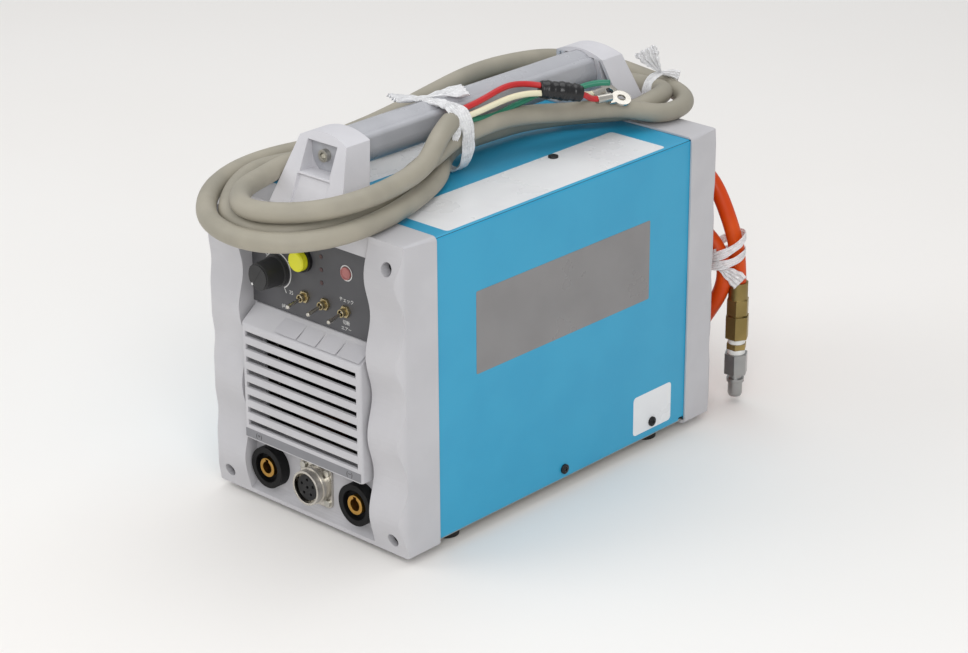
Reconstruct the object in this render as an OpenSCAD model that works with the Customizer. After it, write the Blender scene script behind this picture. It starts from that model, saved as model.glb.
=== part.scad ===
// Inverter plasma cutter unit with carrying handle, mains cable and air hose.
// Millimetres. +Z up, controls face -Y, origin on the floor under the middle of the case.

/* [Case] */
// Width over the end bezels
body_w = 200; // [180:1:240]
// Height of the end bezels
body_h = 236; // [225:1:280]
// Length of the sheet metal cover between the bezels
cover_len = 277; // [250:1:340]
// Gap between the floor and the bezels
foot_gap = 6; // [4:0.5:10]
// Depth of each end bezel
bezel_depth = 33; // [30:1:40]
// Wall of the moulded bezels
bezel_wall = 3; // [2.5:0.1:4]
// Radius of the bezel's upright outer corners
bezel_corner_r = 7; // [4:0.5:10]
// Radius of the bezel's long edges along the case
bezel_edge_r = 4; // [2:0.5:6]
// Taper of each bezel side towards its outer face
bezel_taper = 1.6; // [0:0.1:3]
// Height of one wave of the bezel face
wave_pitch = 60; // [40:1:80]
// Half of the wave's depth
wave_amp = 2.7; // [0:0.1:3]
// Height of the first wave crest above the floor
wave_crest = 34; // [20:1:50]
// Step of the sheet metal cover in from the bezel's outline
cover_inset = 1.7; // [1.5:0.1:3]
// Sheet metal thickness of the cover
cover_t = 1.2; // [0.8:0.1:1.3]
// How far the cover slips into each bezel's rim
cover_lap = 2.8; // [2:0.1:5]
// Play between the cover and the bezel's rim
rim_play = 0.15; // [0.1:0.05:0.3]

/* [Front recess] */
// Half of the recess width between the two bezel wings
recess_half = 64.5; // [60:0.5:75]
// Depth of the control panel's face behind the bezel face
panel_depth = 12; // [10:0.5:14]
// Thickness of the control panel sheet
panel_t = 1.5; // [1:0.1:2]
// Height of the lintel's lower edge above the floor
lintel_z = 224.5; // [215:0.5:228]
// Step back of the lintel from the bezel face
lintel_back = 4; // [0:0.5:6]
// Depth of the connector recess's floor
connector_depth = 9.5; // [8:0.5:11]
// Radius of the counterbores for the bezel screws
bezel_screw_bore_r = 5; // [4:0.5:6]
// Distance of the bezel screws from the middle
bezel_screw_x = 85; // [80:0.5:88]
// Distance of the bezel screws from the bezel's top and bottom
bezel_screw_edge = 12; // [11:0.5:18]

/* [Front grille] */
// Half of the grille box's width
grille_half = 60.5; // [55:0.5:64]
// Height of the grille box's lower edge above the floor
grille_z0 = 55.5; // [54:0.5:62]
// Height of the front edge of the grille box's sloping top
grille_z1 = 147; // [143:1:150]
// Height where the sloping top meets the control panel
grille_z2 = 157; // [154:1:160]
// Distance that the grille box stands proud of the bezel face
grille_proud = 5; // [2:0.5:8]
// Number of air slots
slot_count = 8; // [4:1:8]
// Spacing of the air slots
slot_pitch = 10; // [9:0.1:10]
// Height of each air slot
slot_h = 4.2; // [3:0.1:5]
// Height of the lowest air slot above the floor
slot_z0 = 68.2; // [66:0.1:70]
// Plain border at each end of the air slots
slot_end = 4; // [3:0.5:10]

/* [Handle] */
// Half of a handle post's width at its foot
post_foot_half = 36; // [34:0.5:42]
// Half of a handle post's width at its shoulder
post_top_half = 23; // [20:0.5:26]
// Height of a handle post's shoulder above the bezel
post_h = 48; // [44:1:56]
// Rise of the arched top above the shoulder
post_arch = 5.4; // [4:0.1:10]
// Depth of a handle post at its foot
post_foot_depth = 28; // [25:0.5:30]
// Depth of a handle post at its shoulder
post_top_depth = 23; // [20:0.5:26]
// Lean of a handle post's shoulder towards the middle of the case
post_lean = 20; // [14:0.5:24]
// Half of the handle bar's width
bar_half = 14.4; // [12:0.1:16]
// Height of the bar's round underside centre above the bezel
bar_z = 37; // [33:0.5:44]
// Height of the bar's flat top above that centre
bar_top = 11; // [8:0.5:12]
// Radius of the bar's upper corners
bar_corner_r = 3.5; // [2:0.5:6]

/* [Controls] */
// Current knob, across and up from the middle and the floor
knob_x = -37.5; // [-42:0.5:-34]
knob_z = 187.5; // [184:0.5:192]
// Radius of the knob
knob_r = 10.5; // [8:0.1:12]
// Length of the knob
knob_len = 19.5; // [15:0.5:24]
// Radius of the knob's shaft
shaft_r = 3; // [2:0.1:4]
// Running clearance of shafts in their bearings
run_fit = 0.05; // [0.02:0.01:0.1]
// Turning range of the knob in degrees
knob_turn = 280; // [200:5:300]
// Push button, across and up
button_x = -10.5; // [-12:0.5:-8]
button_z = 203; // [200:0.5:206]
// Radius of the button's cap
button_r = 7.6; // [6:0.1:8]
// Height of the released button above the panel
button_up = 8.5; // [7:0.5:10]
// Travel of the button
button_travel = 2.5; // [1:0.1:3]
// Height of the three toggles above the floor
toggle_z = 174.7; // [172:0.1:178]
// Position of the middle toggle
toggle_x = 10.9; // [9:0.1:13]
// Spacing of the toggles
toggle_pitch = 20.6; // [18:0.1:22]
// Length of a toggle lever in front of its pivot
lever_len = 14; // [10:0.5:16]
// Tilt of a toggle lever to either side of straight out
lever_tilt = 12; // [8:0.5:13]
// Status lamps, across
led_x = 7.4; // [6:0.1:10]
// Height of the middle status lamp
led_z = 199.5; // [196:0.5:202]
// Spacing of the status lamps
led_pitch = 9.9; // [8:0.1:11]
// Red lamp, across and up
lamp_x = 32.4; // [30:0.1:36]
lamp_z = 203.5; // [200:0.1:208]
// Radius of the red lamp
lamp_r = 4.6; // [3:0.1:6]
// Tilt of the breaker lever to either side of straight out
breaker_tilt = 24; // [15:1:26]

/* [Outputs] */
// Distance of the output sockets from the middle
socket_x = 45.7; // [44:0.1:47]
// Height of the outputs above the floor
socket_z = 32; // [28:0.5:34]
// Radius of a socket's insulator
socket_r = 16; // [14:0.5:17]
// Length of a socket's insulator in front of its seat
socket_len = 8.5; // [6:0.5:10]
// Radius of the bore of a socket's contact
contact_bore_r = 4.6; // [4:0.1:5]
// Radius of a socket's contact
contact_r = 7.3; // [6.5:0.1:8]
// Radius of the round control connector
plug_r = 13.2; // [12:0.1:14]
// Length of the control connector in front of its flange
plug_len = 13; // [10:0.5:14]

/* [Cords] */
// Diameter of the mains cable
cable_d = 14.5; // [12:0.5:16]
// Diameter of one core of the mains cable
core_d = 4.4; // [4:0.1:5]
// Diameter of the air hose
hose_d = 12.5; // [10:0.5:14]

/* [Resolution] */
// Segments of a full circle
$fn = 48; // [24:4:96]

/* [Hidden] */

z0 = foot_gap;                              // underside of the bezels
z1 = foot_gap + body_h;                     // top of the bezels
rim_y = cover_len / 2;                      // inner edge of a bezel, from the middle
face_y = rim_y + bezel_depth;               // mean outer face of a bezel
half_w = body_w / 2;
cover_half = half_w - cover_inset;          // outer face of the cover's side
cover_top = z1 - cover_inset;               // outer face of the cover's top
cover_in = cover_half - cover_t;
plate_z = z0 + bezel_wall + 0.2;            // underside of the base plate
plate_t = 1.6;
plate_top = plate_z + plate_t;
flange_t = 1.6;
flange_h = 22;
flange_half = cover_in - 0.3;               // outer face of the base plate's flanges
panel_y = face_y - panel_depth;             // face of the control panel, from the middle
seat_y = panel_y - panel_t;                 // floor behind the control panel
floor_y = face_y - connector_depth;         // floor of the connector recess
pocket_y = seat_y - bezel_wall;             // depth reached by the bezel's inner hollow
bulk_y = rim_y + 4.5;                       // inner face of a bulkhead
bulk_t = 1.5;
valve_port_y = bulk_y - 31;                 // side port of the air valve, behind the rear bulkhead
bulk_half = cover_in - 3;
plate_end_half = body_w / 2 - bezel_wall - bezel_taper - 0.3;   // half of the base plate's ends, inside the bezels
post_screw_xs = [-28, -12, 12, 28];
post_screw_y = pocket_y - 7;
bar_axis_z = z1 + bar_z;
post_front = face_y - 4.5;                  // outer edge of a post's foot
post_back = post_front - post_foot_depth;
pocket_up = 9.5;                            // a post's pocket, above and below the bar's axis
pocket_down = 12;
sill_low = bar_z - pocket_down - 1.5;       // top of the sunk field under the pocket's sill
shoulder_front = post_front - post_lean;
shoulder_back = shoulder_front - post_top_depth;
bar_end = (post_front + shoulder_front) / 2 - 13;   // outer end of the bar, from the middle
toggle_xs = [toggle_x - toggle_pitch, toggle_x, toggle_x + toggle_pitch];
pivot_y = panel_y + 3.4;                    // toggle pivots stand in front of the panel
bush_y = panel_y + 6;                       // mouth of a toggle's bushing
side_screws = [[-3, 18], [99, 22]];         // Y and Z of the cover's side screws
top_screw = [48, 40];                       // X and Y of the cover's top screw
intake_y = 95;                              // middle of the base plate's air intake slots
bezel_screw_zs = [z0 + bezel_screw_edge, z1 - bezel_screw_edge - 6];
board_y = bulk_y + bulk_t + 2;              // rear face of the control board
board_t = 1.6;
foot_x = 80;
foot_y = 112;
fan_z = 128;
fan_half = 46;
fan_t = 25;
fan_y = bulk_y - fan_t;                     // inner face of the fan
fan_r = 41;
hub_r = 18;
gland_x = -35;
gland_z = 56;
inlet_x = 10;
inlet_z = 202;
elbow_out = 11.9;                           // middle of the elbow, out from the rear panel
breaker_x = -36;
breaker_z = 206;
earth_x = 44;
earth_z = 34;
sink_y0 = -25;
sink_y1 = 85;
sink_half = 62;
sink_top = 58;
module_h = 16;
main_z = sink_top + module_h;
core_r = core_d / 2;
cable_r = cable_d / 2;
hose_r = hose_d / 2;
hank_z0 = z1 + 0.4;                         // the hank rests on the case's top
hank_h = 36;
hank_end_y = -18;                           // the jacket's cut end, beside the bar
hank_low_z = z1 + 21.5;                       // top of the hank behind the cut end
coil_r = 80;                                // mean radius of the hose coil behind the case
coil_c = [-11, 197, coil_r + 13.4];          // middle of the coil, which stands on the floor
fitting_at = [93, 211];                     // the hose's fitting hangs upright here
plug_low = 5.6;                               // height of the plug's nose above the floor

// Route of the mains cable from the gland up to the hank.
cable_route = [[-35, 150, 56], [-35, 182, 56], [-35, 206, 58], [-36, 230, 67], [-38, 247, 88],
    [-41, 254, 118], [-46, 254, 155], [-54, 248, 195], [-62, 234, 228], [-70, 212, 246], [-78, 192, 252]];
// Routes of the three cores from the jacket's cut end to the tape, and beyond the tape.
core_routes = [
    [[22, -22, 275], [21, -12, 281.5], [19.8, 2, 290], [19.5, 20, 293.5], [24, 38, 292], [33.3, 50.8, 289.1]],
    [[27, -22, 275], [26.5, -12, 279.5], [25.5, 2, 283.5], [26, 20, 286.5], [30, 37, 286], [35, 48.9, 284.8]],
    [[24.5, -22, 270], [24, -12, 272], [23, 2, 275], [22.5, 20, 278], [25, 38, 281], [30.7, 51.4, 284.8]]];
tail_routes = [
    [[46, 67.1, 280.8], [47, 76, 279.5], [44.6, 86, 274], [45.4, 96.5, 271.3]],
    [[41.7, 69.7, 280.8], [38.5, 78, 279], [35, 90, 274], [34, 103, 271.3]],
    [[44.3, 69.1, 285.1], [50, 76, 287.5], [57, 82, 288.5], [62, 87, 288]]];
tape_from = [31, 47, 287];
tape_to = [46, 72, 281.5];
tape_r = 6.6;
lugs_at = [[45, 94.9, -16.7], [34, 101, 0]];           // rear ends of the two ring terminals' barrels
lug_hole_r = 3.2;
lug_lean = 28;                              // turn of the terminals about their barrels
lug_reach = 21;                             // from a barrel to the middle of its ring
lug_drop = 4.4;                             // from a barrel's axis to the underside of its ring
lug_lift = 7.8;                             // height of the barrels' axes above the hank
// Route of the air hose from the inlet to the coil, and from the coil down to its fitting.
hose_start = [[32, 171.4, 202], [46, 172.5, 200.5], [58, 176, 193], [67, 180, 180], [72, 184, 162],
    [74, 186.5, 140], [72, 189, 118]];
hose_end = [[-50, 203, 165], [-28, 203, 184], [0, 203, 195.5], [22, 203, 199], [42, 203, 198], [58, 203, 192.5],
    [70, 204, 183], [78, 205.5, 170], [84, 207, 156], [89, 208.5, 141], [92, 210, 124], [93, 211, 101]];
// Route of the air tube inside the case, from the valve to the right output socket.
tube_route = [[32, valve_port_y, 202], [48, valve_port_y - 1, 202], [64, 105, 201], [76, 92, 198], [82, 60, 182], [84, 20, 150], [84, -30, 112],
    [82, -75, 78], [74, -108, 52], [60, -126, 37], [50, -131, 32.5], [45.7, -136, 32]];

// --- shared shapes ---

// Rectangle with four round corners, centred.
module round_rect(w, h, r) {
    square([w, h - 2 * r], center = true);
    square([w - 2 * r, h], center = true);
    for (sx = [-1, 1], sy = [-1, 1])
        translate([sx * (w / 2 - r), sy * (h / 2 - r)]) circle(r);
}

// Extrudes a Y-Z outline along X, centred.
module along_x(w) {
    translate([-w / 2, 0, 0]) rotate([90, 0, 90]) linear_extrude(w) children();
}

// Cylinder along Y from y0 to y1, radii ra at y0 and rb at y1.
module rod_y(x, z, y0, y1, ra, rb = -1) {
    translate([x, y0, z]) rotate([-90, 0, 0]) cylinder(h = y1 - y0, r1 = ra, r2 = rb < 0 ? ra : rb);
}

// Hexagonal prism along Y, by its width across flats.
module hex_y(x, z, y0, y1, flats) {
    translate([x, y0, z]) rotate([-90, 0, 0]) cylinder(h = y1 - y0, r = flats / sqrt(3), $fn = 6);
}

// Box given by its two corners.
module box(a, b) {
    translate(a) cube(b - a);
}

// Turns the front end's shape to the rear end.
module at_rear() {
    mirror([0, 1, 0]) children();
}

// Points along an arc of n steps.
function arc(c, r, a0, a1, n) = [for (i = [0 : n]) let (a = lerp(a0, a1, i / n)) c + r * [cos(a), sin(a)]];
function unit(v) = v / norm(v);
function lerp(a, b, t) = a + (b - a) * t;
// Direction of a route at point i.
function heading(p, i) = unit(p[min(i + 1, len(p) - 1)] - p[max(i - 1, 0)]);
// Cross-section ring of radius r at point i of route p, with n corners.
function ring(p, i, r, n, ref) =
    let (t = heading(p, i), u = unit(cross(t, ref)), v = cross(t, u))
    [for (k = [0 : n - 1]) p[i] + r * (u * cos(360 * k / n) + v * sin(360 * k / n))];

// Tube swept along the points of a route; ref is a direction that the route never runs along.
module tube(p, r, n = 10, ref = [1, 0, 0]) {
    m = len(p);
    pts = [for (i = [0 : m - 1]) each ring(p, i, r, n, ref)];
    sides = [for (i = [0 : m - 2], k = [0 : n - 1])
        let (a = i * n + k, b = i * n + (k + 1) % n) each [[a, b, b + n], [a, b + n, a + n]]];
    polyhedron(points = pts, faces = concat(sides,
        [[for (k = [n - 1 : -1 : 0]) k]], [[for (k = [0 : n - 1]) (m - 1) * n + k]]));
}

// Outline of a bezel in Y and Z, front end; the outer face is a cosine wave.
function wave_y(z) = -face_y - wave_amp * cos(360 * (z - wave_crest) / wave_pitch);
module wave_outline() {
    n = 56;
    polygon(concat([[-rim_y, z0], [-rim_y, z1]],
        [for (i = [0 : n]) let (z = lerp(z1, z0, i / n)) [wave_y(z), z]]));
}

// Solid block of a front end bezel.
module bezel_block() {
    tip = half_w - bezel_taper;
    corner_y = -face_y - wave_amp - 0.1 + bezel_corner_r;
    intersection() {
        along_x(body_w + 2) wave_outline();
        translate([0, 0, z0 - 1]) linear_extrude(body_h + 2) polygon(concat(
            [[half_w, -rim_y], [-half_w, -rim_y]],
            arc([-tip + bezel_corner_r, corner_y], bezel_corner_r, 180, 270, 8),
            arc([tip - bezel_corner_r, corner_y], bezel_corner_r, 270, 360, 8)));
        translate([0, 0, z0 + body_h / 2]) rotate([90, 0, 0])
            linear_extrude(face_y + 5) round_rect(body_w, body_h, bezel_edge_r);
    }
}

// Inner hollow of a bezel with the rebate that takes the cover's edge.
module bezel_hollow() {
    inner = half_w - bezel_wall - bezel_taper;
    box([-inner, -pocket_y, z0 + bezel_wall], [inner, -rim_y + 1, z1 - bezel_wall]);
    box([-cover_half - rim_play, -rim_y - cover_lap - 0.2, z0 + bezel_wall],
        [cover_half + rim_play, -rim_y + 1, cover_top + rim_play]);
    for (s = [-1, 1]) difference() {
        box([s > 0 ? recess_half + bezel_wall : -inner, -face_y + wave_amp + bezel_wall, z0 + bezel_wall + 2],
            [s > 0 ? inner : -recess_half - bezel_wall, -pocket_y + 1, z1 - bezel_wall - 2]);
        for (z = bezel_screw_zs) rod_y(s * bezel_screw_x, z, -face_y, -pocket_y + 2, bezel_screw_bore_r + 2.5);
    }
}

// Counterbored screw holes of a bezel.
module bezel_screw_holes() {
    for (s = [-1, 1], z = bezel_screw_zs) {
        rod_y(s * bezel_screw_x, z, -face_y - 6, -face_y + 9, bezel_screw_bore_r);
        rod_y(s * bezel_screw_x, z, -face_y, -pocket_y + 3, 2.4);
    }
}

// --- chassis ---

module base_plate() color("silver") {
    difference() {
        union() {
            box([-flange_half, -rim_y, plate_z], [flange_half, rim_y, plate_top]);
            box([-plate_end_half, -bulk_y - bulk_t, plate_z], [plate_end_half, bulk_y + bulk_t, plate_top]);
            for (s = [-1, 1]) translate([s * (flange_half - flange_t / 2), 0, plate_z + flange_h / 2])
                cube([flange_t, 2 * rim_y - 8, flange_h], center = true);
        }
        for (sx = [-1, 1], sy = [-1, 1]) translate([sx * foot_x, sy * foot_y, plate_z - 1])
            cylinder(h = 4, r = 2.6);
        for (s = [-1, 1], p = side_screws) translate([s * flange_half, p[0], p[1]]) rotate([0, 90, 0])
            cylinder(h = 8, r = 1.7, center = true);
        // air intake slots under the power stage
        for (i = [-3 : 3]) translate([0, intake_y + 5 * i, plate_z]) cube([80, 3, 5], center = true);
    }
}

module outer_cover() color("steelblue") {
    difference() {
        translate([0, 0, (cover_top + plate_z + 0.3) / 2]) rotate([90, 0, 0])
            linear_extrude(2 * (rim_y + cover_lap), center = true)
                round_rect(2 * cover_half, cover_top - plate_z - 0.3, 2.5);
        translate([0, 0, (cover_top + plate_z + 0.3) / 2 - 10]) rotate([90, 0, 0])
            linear_extrude(2 * (rim_y + cover_lap) + 2, center = true)
                round_rect(2 * cover_in, cover_top - plate_z - 0.3 + 20 - 2 * cover_t, 1.3);
        for (s = [-1, 1], p = side_screws) translate([s * cover_half, p[0], p[1]]) rotate([0, 90, 0])
            cylinder(h = 8, r = 2.2, center = true);
        translate([top_screw[0], top_screw[1], cover_top - 3]) cylinder(h = 6, r = 2.2);
        // drain notches at the rear ends of the lower edges
        for (s = [-1, 1]) translate([s * cover_half, rim_y - 3, plate_z]) cube([6, 6, 8], center = true);
    }
}

module bulkhead(window_z0, window_z1, window_half) {
    difference() {
        box([-bulk_half, -bulk_y - bulk_t, plate_top], [bulk_half, -bulk_y, z1 - bezel_wall - 4]);
        box([-window_half, -bulk_y - 5, window_z0], [window_half, -bulk_y + 5, window_z1]);
        for (s = [-1, 1], z = bezel_screw_zs) rod_y(s * bezel_screw_x, z, -bulk_y - 3, -bulk_y + 3, 2);
    }
}

module front_bulkhead() color("gainsboro") difference() {
    bulkhead(62, 150, 57);
    for (x = [-socket_x, 0, socket_x]) rod_y(x, socket_z, -bulk_y - 3, -bulk_y + 3, 13);
    box([-58, -bulk_y - 5, 160], [58, -bulk_y + 5, 224]);
}

module rear_bulkhead() color("gainsboro") at_rear() difference() {
    bulkhead(fan_z - 1, fan_z + 1, 1);
    rod_y(0, fan_z, -bulk_y - 3, -bulk_y + 3, fan_r + 2);
    rod_y(gland_x, gland_z, -bulk_y - 3, -bulk_y + 3, 13);
    box([breaker_x - 24, -bulk_y - 5, breaker_z - 24], [breaker_x + 24, -bulk_y + 5, breaker_z + 20]);
    rod_y(inlet_x, inlet_z, -bulk_y - 3, -bulk_y + 3, 9);
    rod_y(earth_x, earth_z, -bulk_y - 3, -bulk_y + 3, 6);
}

// --- bezels ---

module front_bezel() color("lightsteelblue") {
    difference() {
        bezel_block();
        bezel_hollow();
        bezel_screw_holes();
        // recess between the wings, with a curved foot under the connectors
        along_x(2 * recess_half) polygon(concat([[-face_y - 10, z0 + 3]],
            [for (a = [0 : 15 : 90]) [-face_y - 0.5 + (connector_depth + 0.5) * sin(a), z0 + 10 - 7 * cos(a)]],
            [[-floor_y, grille_z0 - 0.2], [-seat_y, grille_z0 - 0.2], [-seat_y, lintel_z], [-face_y - 10, lintel_z]]));
        box([-recess_half, -face_y - 10, lintel_z - 1], [recess_half, -face_y + lintel_back, z1 + 1]);
        // windows behind the grille and the control panel
        box([-57, -seat_y - 1, 62], [57, -pocket_y + 1, 150]);
        box([-58, -seat_y - 1, 163], [58, -pocket_y + 1, 219]);
        for (s = [-1, 1]) {
            rod_y(s * socket_x, socket_z, -floor_y - 1, -pocket_y + 1, 11);
            rod_y(s * socket_x, socket_z, -face_y - 6, -floor_y, socket_r + 0.3);
        }
        rod_y(0, socket_z, -floor_y - 1, -pocket_y + 1, 11);
        for (sx = [-1, 1], sz = [-1, 1])
            rod_y(sx * 12, socket_z + sz * 12, -floor_y - 1, -pocket_y + 1, 1.3);
        post_screw_holes();
    }
}

module post_screw_holes() {
    for (x = post_screw_xs) translate([x, -post_screw_y, z1 - bezel_wall - 1])
        cylinder(h = bezel_wall + 2, r = 2.6);
}

module rear_bezel() color("lightsteelblue") at_rear() {
    difference() {
        bezel_block();
        bezel_hollow();
        bezel_screw_holes();
        box([-recess_half, -face_y - 10, z0 + 9], [recess_half, -panel_y, lintel_z]);
        // fan louvres
        for (i = [-5 : 5]) let (z = fan_z + 7.5 * i, h = sqrt(pow(fan_r, 2) - pow(7.5 * i, 2) + 60))
            box([-h, -panel_y - 1, z - 1.8], [h, -pocket_y + 1, z + 1.8]);
        rod_y(gland_x, gland_z, -panel_y - 1, -pocket_y + 1, 11);
        box([breaker_x - 18, -panel_y - 1, breaker_z - 12], [breaker_x + 18, -pocket_y + 1, breaker_z + 12]);
        rod_y(inlet_x, inlet_z, -panel_y - 1, -pocket_y + 1, 7);
        rod_y(earth_x, earth_z, -panel_y - 1, -pocket_y + 1, 4);
        post_screw_holes();
    }
}

module bezel_screws() color("dimgray") {
    for (e = [0, 1]) mirror([0, e, 0]) for (s = [-1, 1], z = bezel_screw_zs) {
        difference() {
            rod_y(s * bezel_screw_x, z, -face_y + 5.8, -face_y + 9, 4.2);
            hex_y(s * bezel_screw_x, z, -face_y + 4, -face_y + 7.6, 3);
        }
        rod_y(s * bezel_screw_x, z, -face_y + 8.5, -bulk_y + 3, 1.95);
    }
}

module cover_screws() color("black") {
    for (s = [-1, 1], p = side_screws) translate([s * cover_half, p[0], p[1]]) rotate([0, s * 90, 0]) {
        pan_head(3.8);
        translate([0, 0, -6]) cylinder(h = 7, r = 1.65);
    }
    translate([top_screw[0], top_screw[1], cover_top]) {
        pan_head(3.8);
        translate([0, 0, -6]) cylinder(h = 7, r = 1.65);
    }
}

// Low domed screw head with a cross recess, seated on z = 0.
module pan_head(r) {
    difference() {
        intersection() {
            cylinder(h = 2.4, r = r);
            translate([0, 0, -6.5]) sphere(r = 8.9);
        }
        for (a = [0, 90]) rotate(a) translate([-2.2, -0.5, 1.1]) cube([4.4, 1, 3]);
    }
}

// --- grille and panel ---

module grille_outline(t) {
    front = -face_y - grille_proud + t;
    polygon(concat([[-seat_y + (t > 0 ? 5 : 0), grille_z0 + t], [front, grille_z0 + t]],
        [for (a = [0 : 15 : 60]) [front + 4 - 4 * cos(a), grille_z1 - 4 - t * 0.6 + 4 * sin(a)]],
        [[-panel_y - 1, grille_z2 - t * 1.3], [-seat_y + (t > 0 ? 5 : 0), grille_z2 - t * 1.3]]));
}

module front_grille() color("gainsboro") {
    difference() {
        intersection() {
            along_x(2 * grille_half) grille_outline(0);
            translate([0, 0, grille_z0 - 1]) linear_extrude(grille_z2) translate([0, -face_y - grille_proud + 25])
                round_rect(2 * grille_half, 50, 2.5);
        }
        along_x(2 * grille_half - 5) grille_outline(2.5);
        for (i = [0 : slot_count - 1]) let (z = slot_z0 + i * slot_pitch)
            box([-grille_half + slot_end, -face_y - grille_proud - 1, z - slot_h / 2],
                [grille_half - slot_end, -face_y, z + slot_h / 2]);
        // three index lines on the sloping top
        for (x = toggle_xs) translate([x + 3.5, -face_y + 2, (grille_z1 + grille_z2) / 2 + 0.9])
            rotate([24, 0, 0]) cube([0.9, 10, 1.6], center = true);
    }
}

module control_panel() color("dimgray") difference() {
    box([-recess_half + 0.2, -panel_y, grille_z2 + 0.3], [recess_half - 0.2, -seat_y, lintel_z - 0.2]);
    rod_y(knob_x, knob_z, -panel_y - 1, -seat_y + 1, 4.7);
    rod_y(button_x, button_z, -panel_y - 1, -seat_y + 1, 7.2);
    for (x = toggle_xs) rod_y(x, toggle_z, -panel_y - 1, -seat_y + 1, 3.1);
    for (i = [-1 : 1]) rod_y(led_x, led_z + i * led_pitch, -panel_y - 1, -seat_y + 1, 1.6);
    rod_y(lamp_x, lamp_z, -panel_y - 1, -seat_y + 1, lamp_r - 0.8);
}

// --- handle ---

module post_outline() {
    r = (pow(post_top_half, 2) + pow(post_arch, 2)) / (2 * post_arch);
    polygon([[-post_foot_half, 0], [post_foot_half, 0], [post_top_half, post_h], [-post_top_half, post_h]]);
    intersection() {
        translate([0, post_h + post_arch - r]) circle(r, $fn = 96);
        translate([-post_top_half, post_h - 1]) square([2 * post_top_half, post_arch + 2]);
    }
}

module bar_outline() {
    circle(bar_half);
    translate([-bar_half, 0]) square([2 * bar_half, bar_top - bar_corner_r]);
    translate([-bar_half + bar_corner_r, 0]) square([2 * (bar_half - bar_corner_r), bar_top]);
    for (s = [-1, 1]) translate([s * (bar_half - bar_corner_r), bar_top - bar_corner_r]) circle(bar_corner_r);
}

module handle_post() {
    difference() {
        intersection() {
            translate([0, -rim_y + 60, z1]) rotate([90, 0, 0]) linear_extrude(150) post_outline();
            along_x(90) polygon([[-post_front, z1], [-post_back, z1], [-shoulder_back, z1 + post_h],
                [-shoulder_back, z1 + post_h + 12], [-shoulder_front + 5, z1 + post_h + 12],
                [-shoulder_front, z1 + post_h]]);
        }
        // socket for the bar, open through the inner face
        translate([0, 0, bar_axis_z]) rotate([90, 0, 0]) linear_extrude(bar_end + 0.2) socket_shape();
        // pocket in the outer face, shallow below the sill
        box([-14.6, -face_y - 2, bar_axis_z - pocket_down], [14.6, -bar_end, bar_axis_z + pocket_up]);
        pocket_below_sill();
        for (s = [-1, 1]) inner_pocket(s);
        for (x = post_screw_xs) translate([x, -post_screw_y, z1 - 1]) cylinder(h = 11, r = 2.5);
    }
}

module socket_shape() {
    w = bar_half + 0.1;
    circle(w);
    translate([-w, 0]) square([2 * w, bar_top + 0.1]);
}

// Shallow sunk field on the outer face, following its lean.
module pocket_below_sill() {
    d = 2.5;
    along_x(32) polygon([[-post_front - 5, z1 + 2], [-post_front + d, z1 + 2],
        [-lerp(post_front, shoulder_front, sill_low / post_h) + d, z1 + sill_low],
        [-lerp(post_front, shoulder_front, sill_low / post_h) - 8, z1 + sill_low]]);
}

// Pocket beside the bar in a post's inner face, between the bar's socket and the post's side wall.
module inner_pocket(s) {
    low = 14;
    high = post_h - 1.5;
    wall = 3.2;
    edge = bar_half + 4.4;
    intersection() {
        translate([0, 0, z1]) rotate([90, 0, 0]) linear_extrude(body_w) polygon([[s * edge, low],
            [s * (lerp(post_foot_half, post_top_half, low / post_h) - wall), low],
            [s * (lerp(post_foot_half, post_top_half, high / post_h) - wall), high], [s * edge, high]]);
        along_x(90) polygon([[-lerp(post_back, shoulder_back, low / post_h) + 2, z1 + low],
            [-lerp(post_back, shoulder_back, low / post_h) - 11, z1 + low],
            [-lerp(post_back, shoulder_back, high / post_h) - 11, z1 + high],
            [-lerp(post_back, shoulder_back, high / post_h) + 2, z1 + high]]);
    }
}

module front_handle_post() color("gainsboro") handle_post();
module rear_handle_post() color("gainsboro") at_rear() handle_post();

module handle_bar() color("silver") difference() {
    translate([0, 0, bar_axis_z]) rotate([90, 0, 0]) linear_extrude(2 * bar_end, center = true) bar_outline();
    for (s = [0, 1]) mirror([0, s, 0]) rod_y(0, bar_axis_z, -bar_end - 1, -bar_end + 26, 2.9);
}

module handle_bolts() color("gray") for (s = [0, 1]) mirror([0, s, 0]) {
    difference() {
        rod_y(0, bar_axis_z, -bar_end - 4, -bar_end, 4.6);
        hex_y(0, bar_axis_z, -bar_end - 5, -bar_end - 1.4, 5);
    }
    rod_y(0, bar_axis_z, -bar_end - 1, -bar_end + 22, 2.85);
}

module post_screws() color("gray") for (e = [0, 1]) mirror([0, e, 0])
    for (x = post_screw_xs) translate([x, -post_screw_y, z1 - bezel_wall - 2.4]) {
        cylinder(h = 2.4, r = 4.2);
        cylinder(h = 14, r = 2.45);
    }

// --- feet ---

module rubber_feet() color("black") for (sx = [-1, 1], sy = [-1, 1])
    translate([sx * foot_x, sy * foot_y, 0]) difference() {
        cylinder(h = plate_z, r1 = 9.6, r2 = 10.6);
        translate([0, 0, -1]) cylinder(h = 5, r = 5);
        cylinder(h = 20, r = 2.5);
    }

module foot_screws() color("gray") for (sx = [-1, 1], sy = [-1, 1])
    translate([sx * foot_x, sy * foot_y, 0]) {
        translate([0, 0, 1.6]) cylinder(h = 2.4, r = 4.4);
        translate([0, 0, 3.6]) cylinder(h = 10.5, r = 2.4);
        translate([0, 0, plate_top]) cylinder(h = 3.4, r = 4.6, $fn = 6);
    }

// --- front outputs ---

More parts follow.
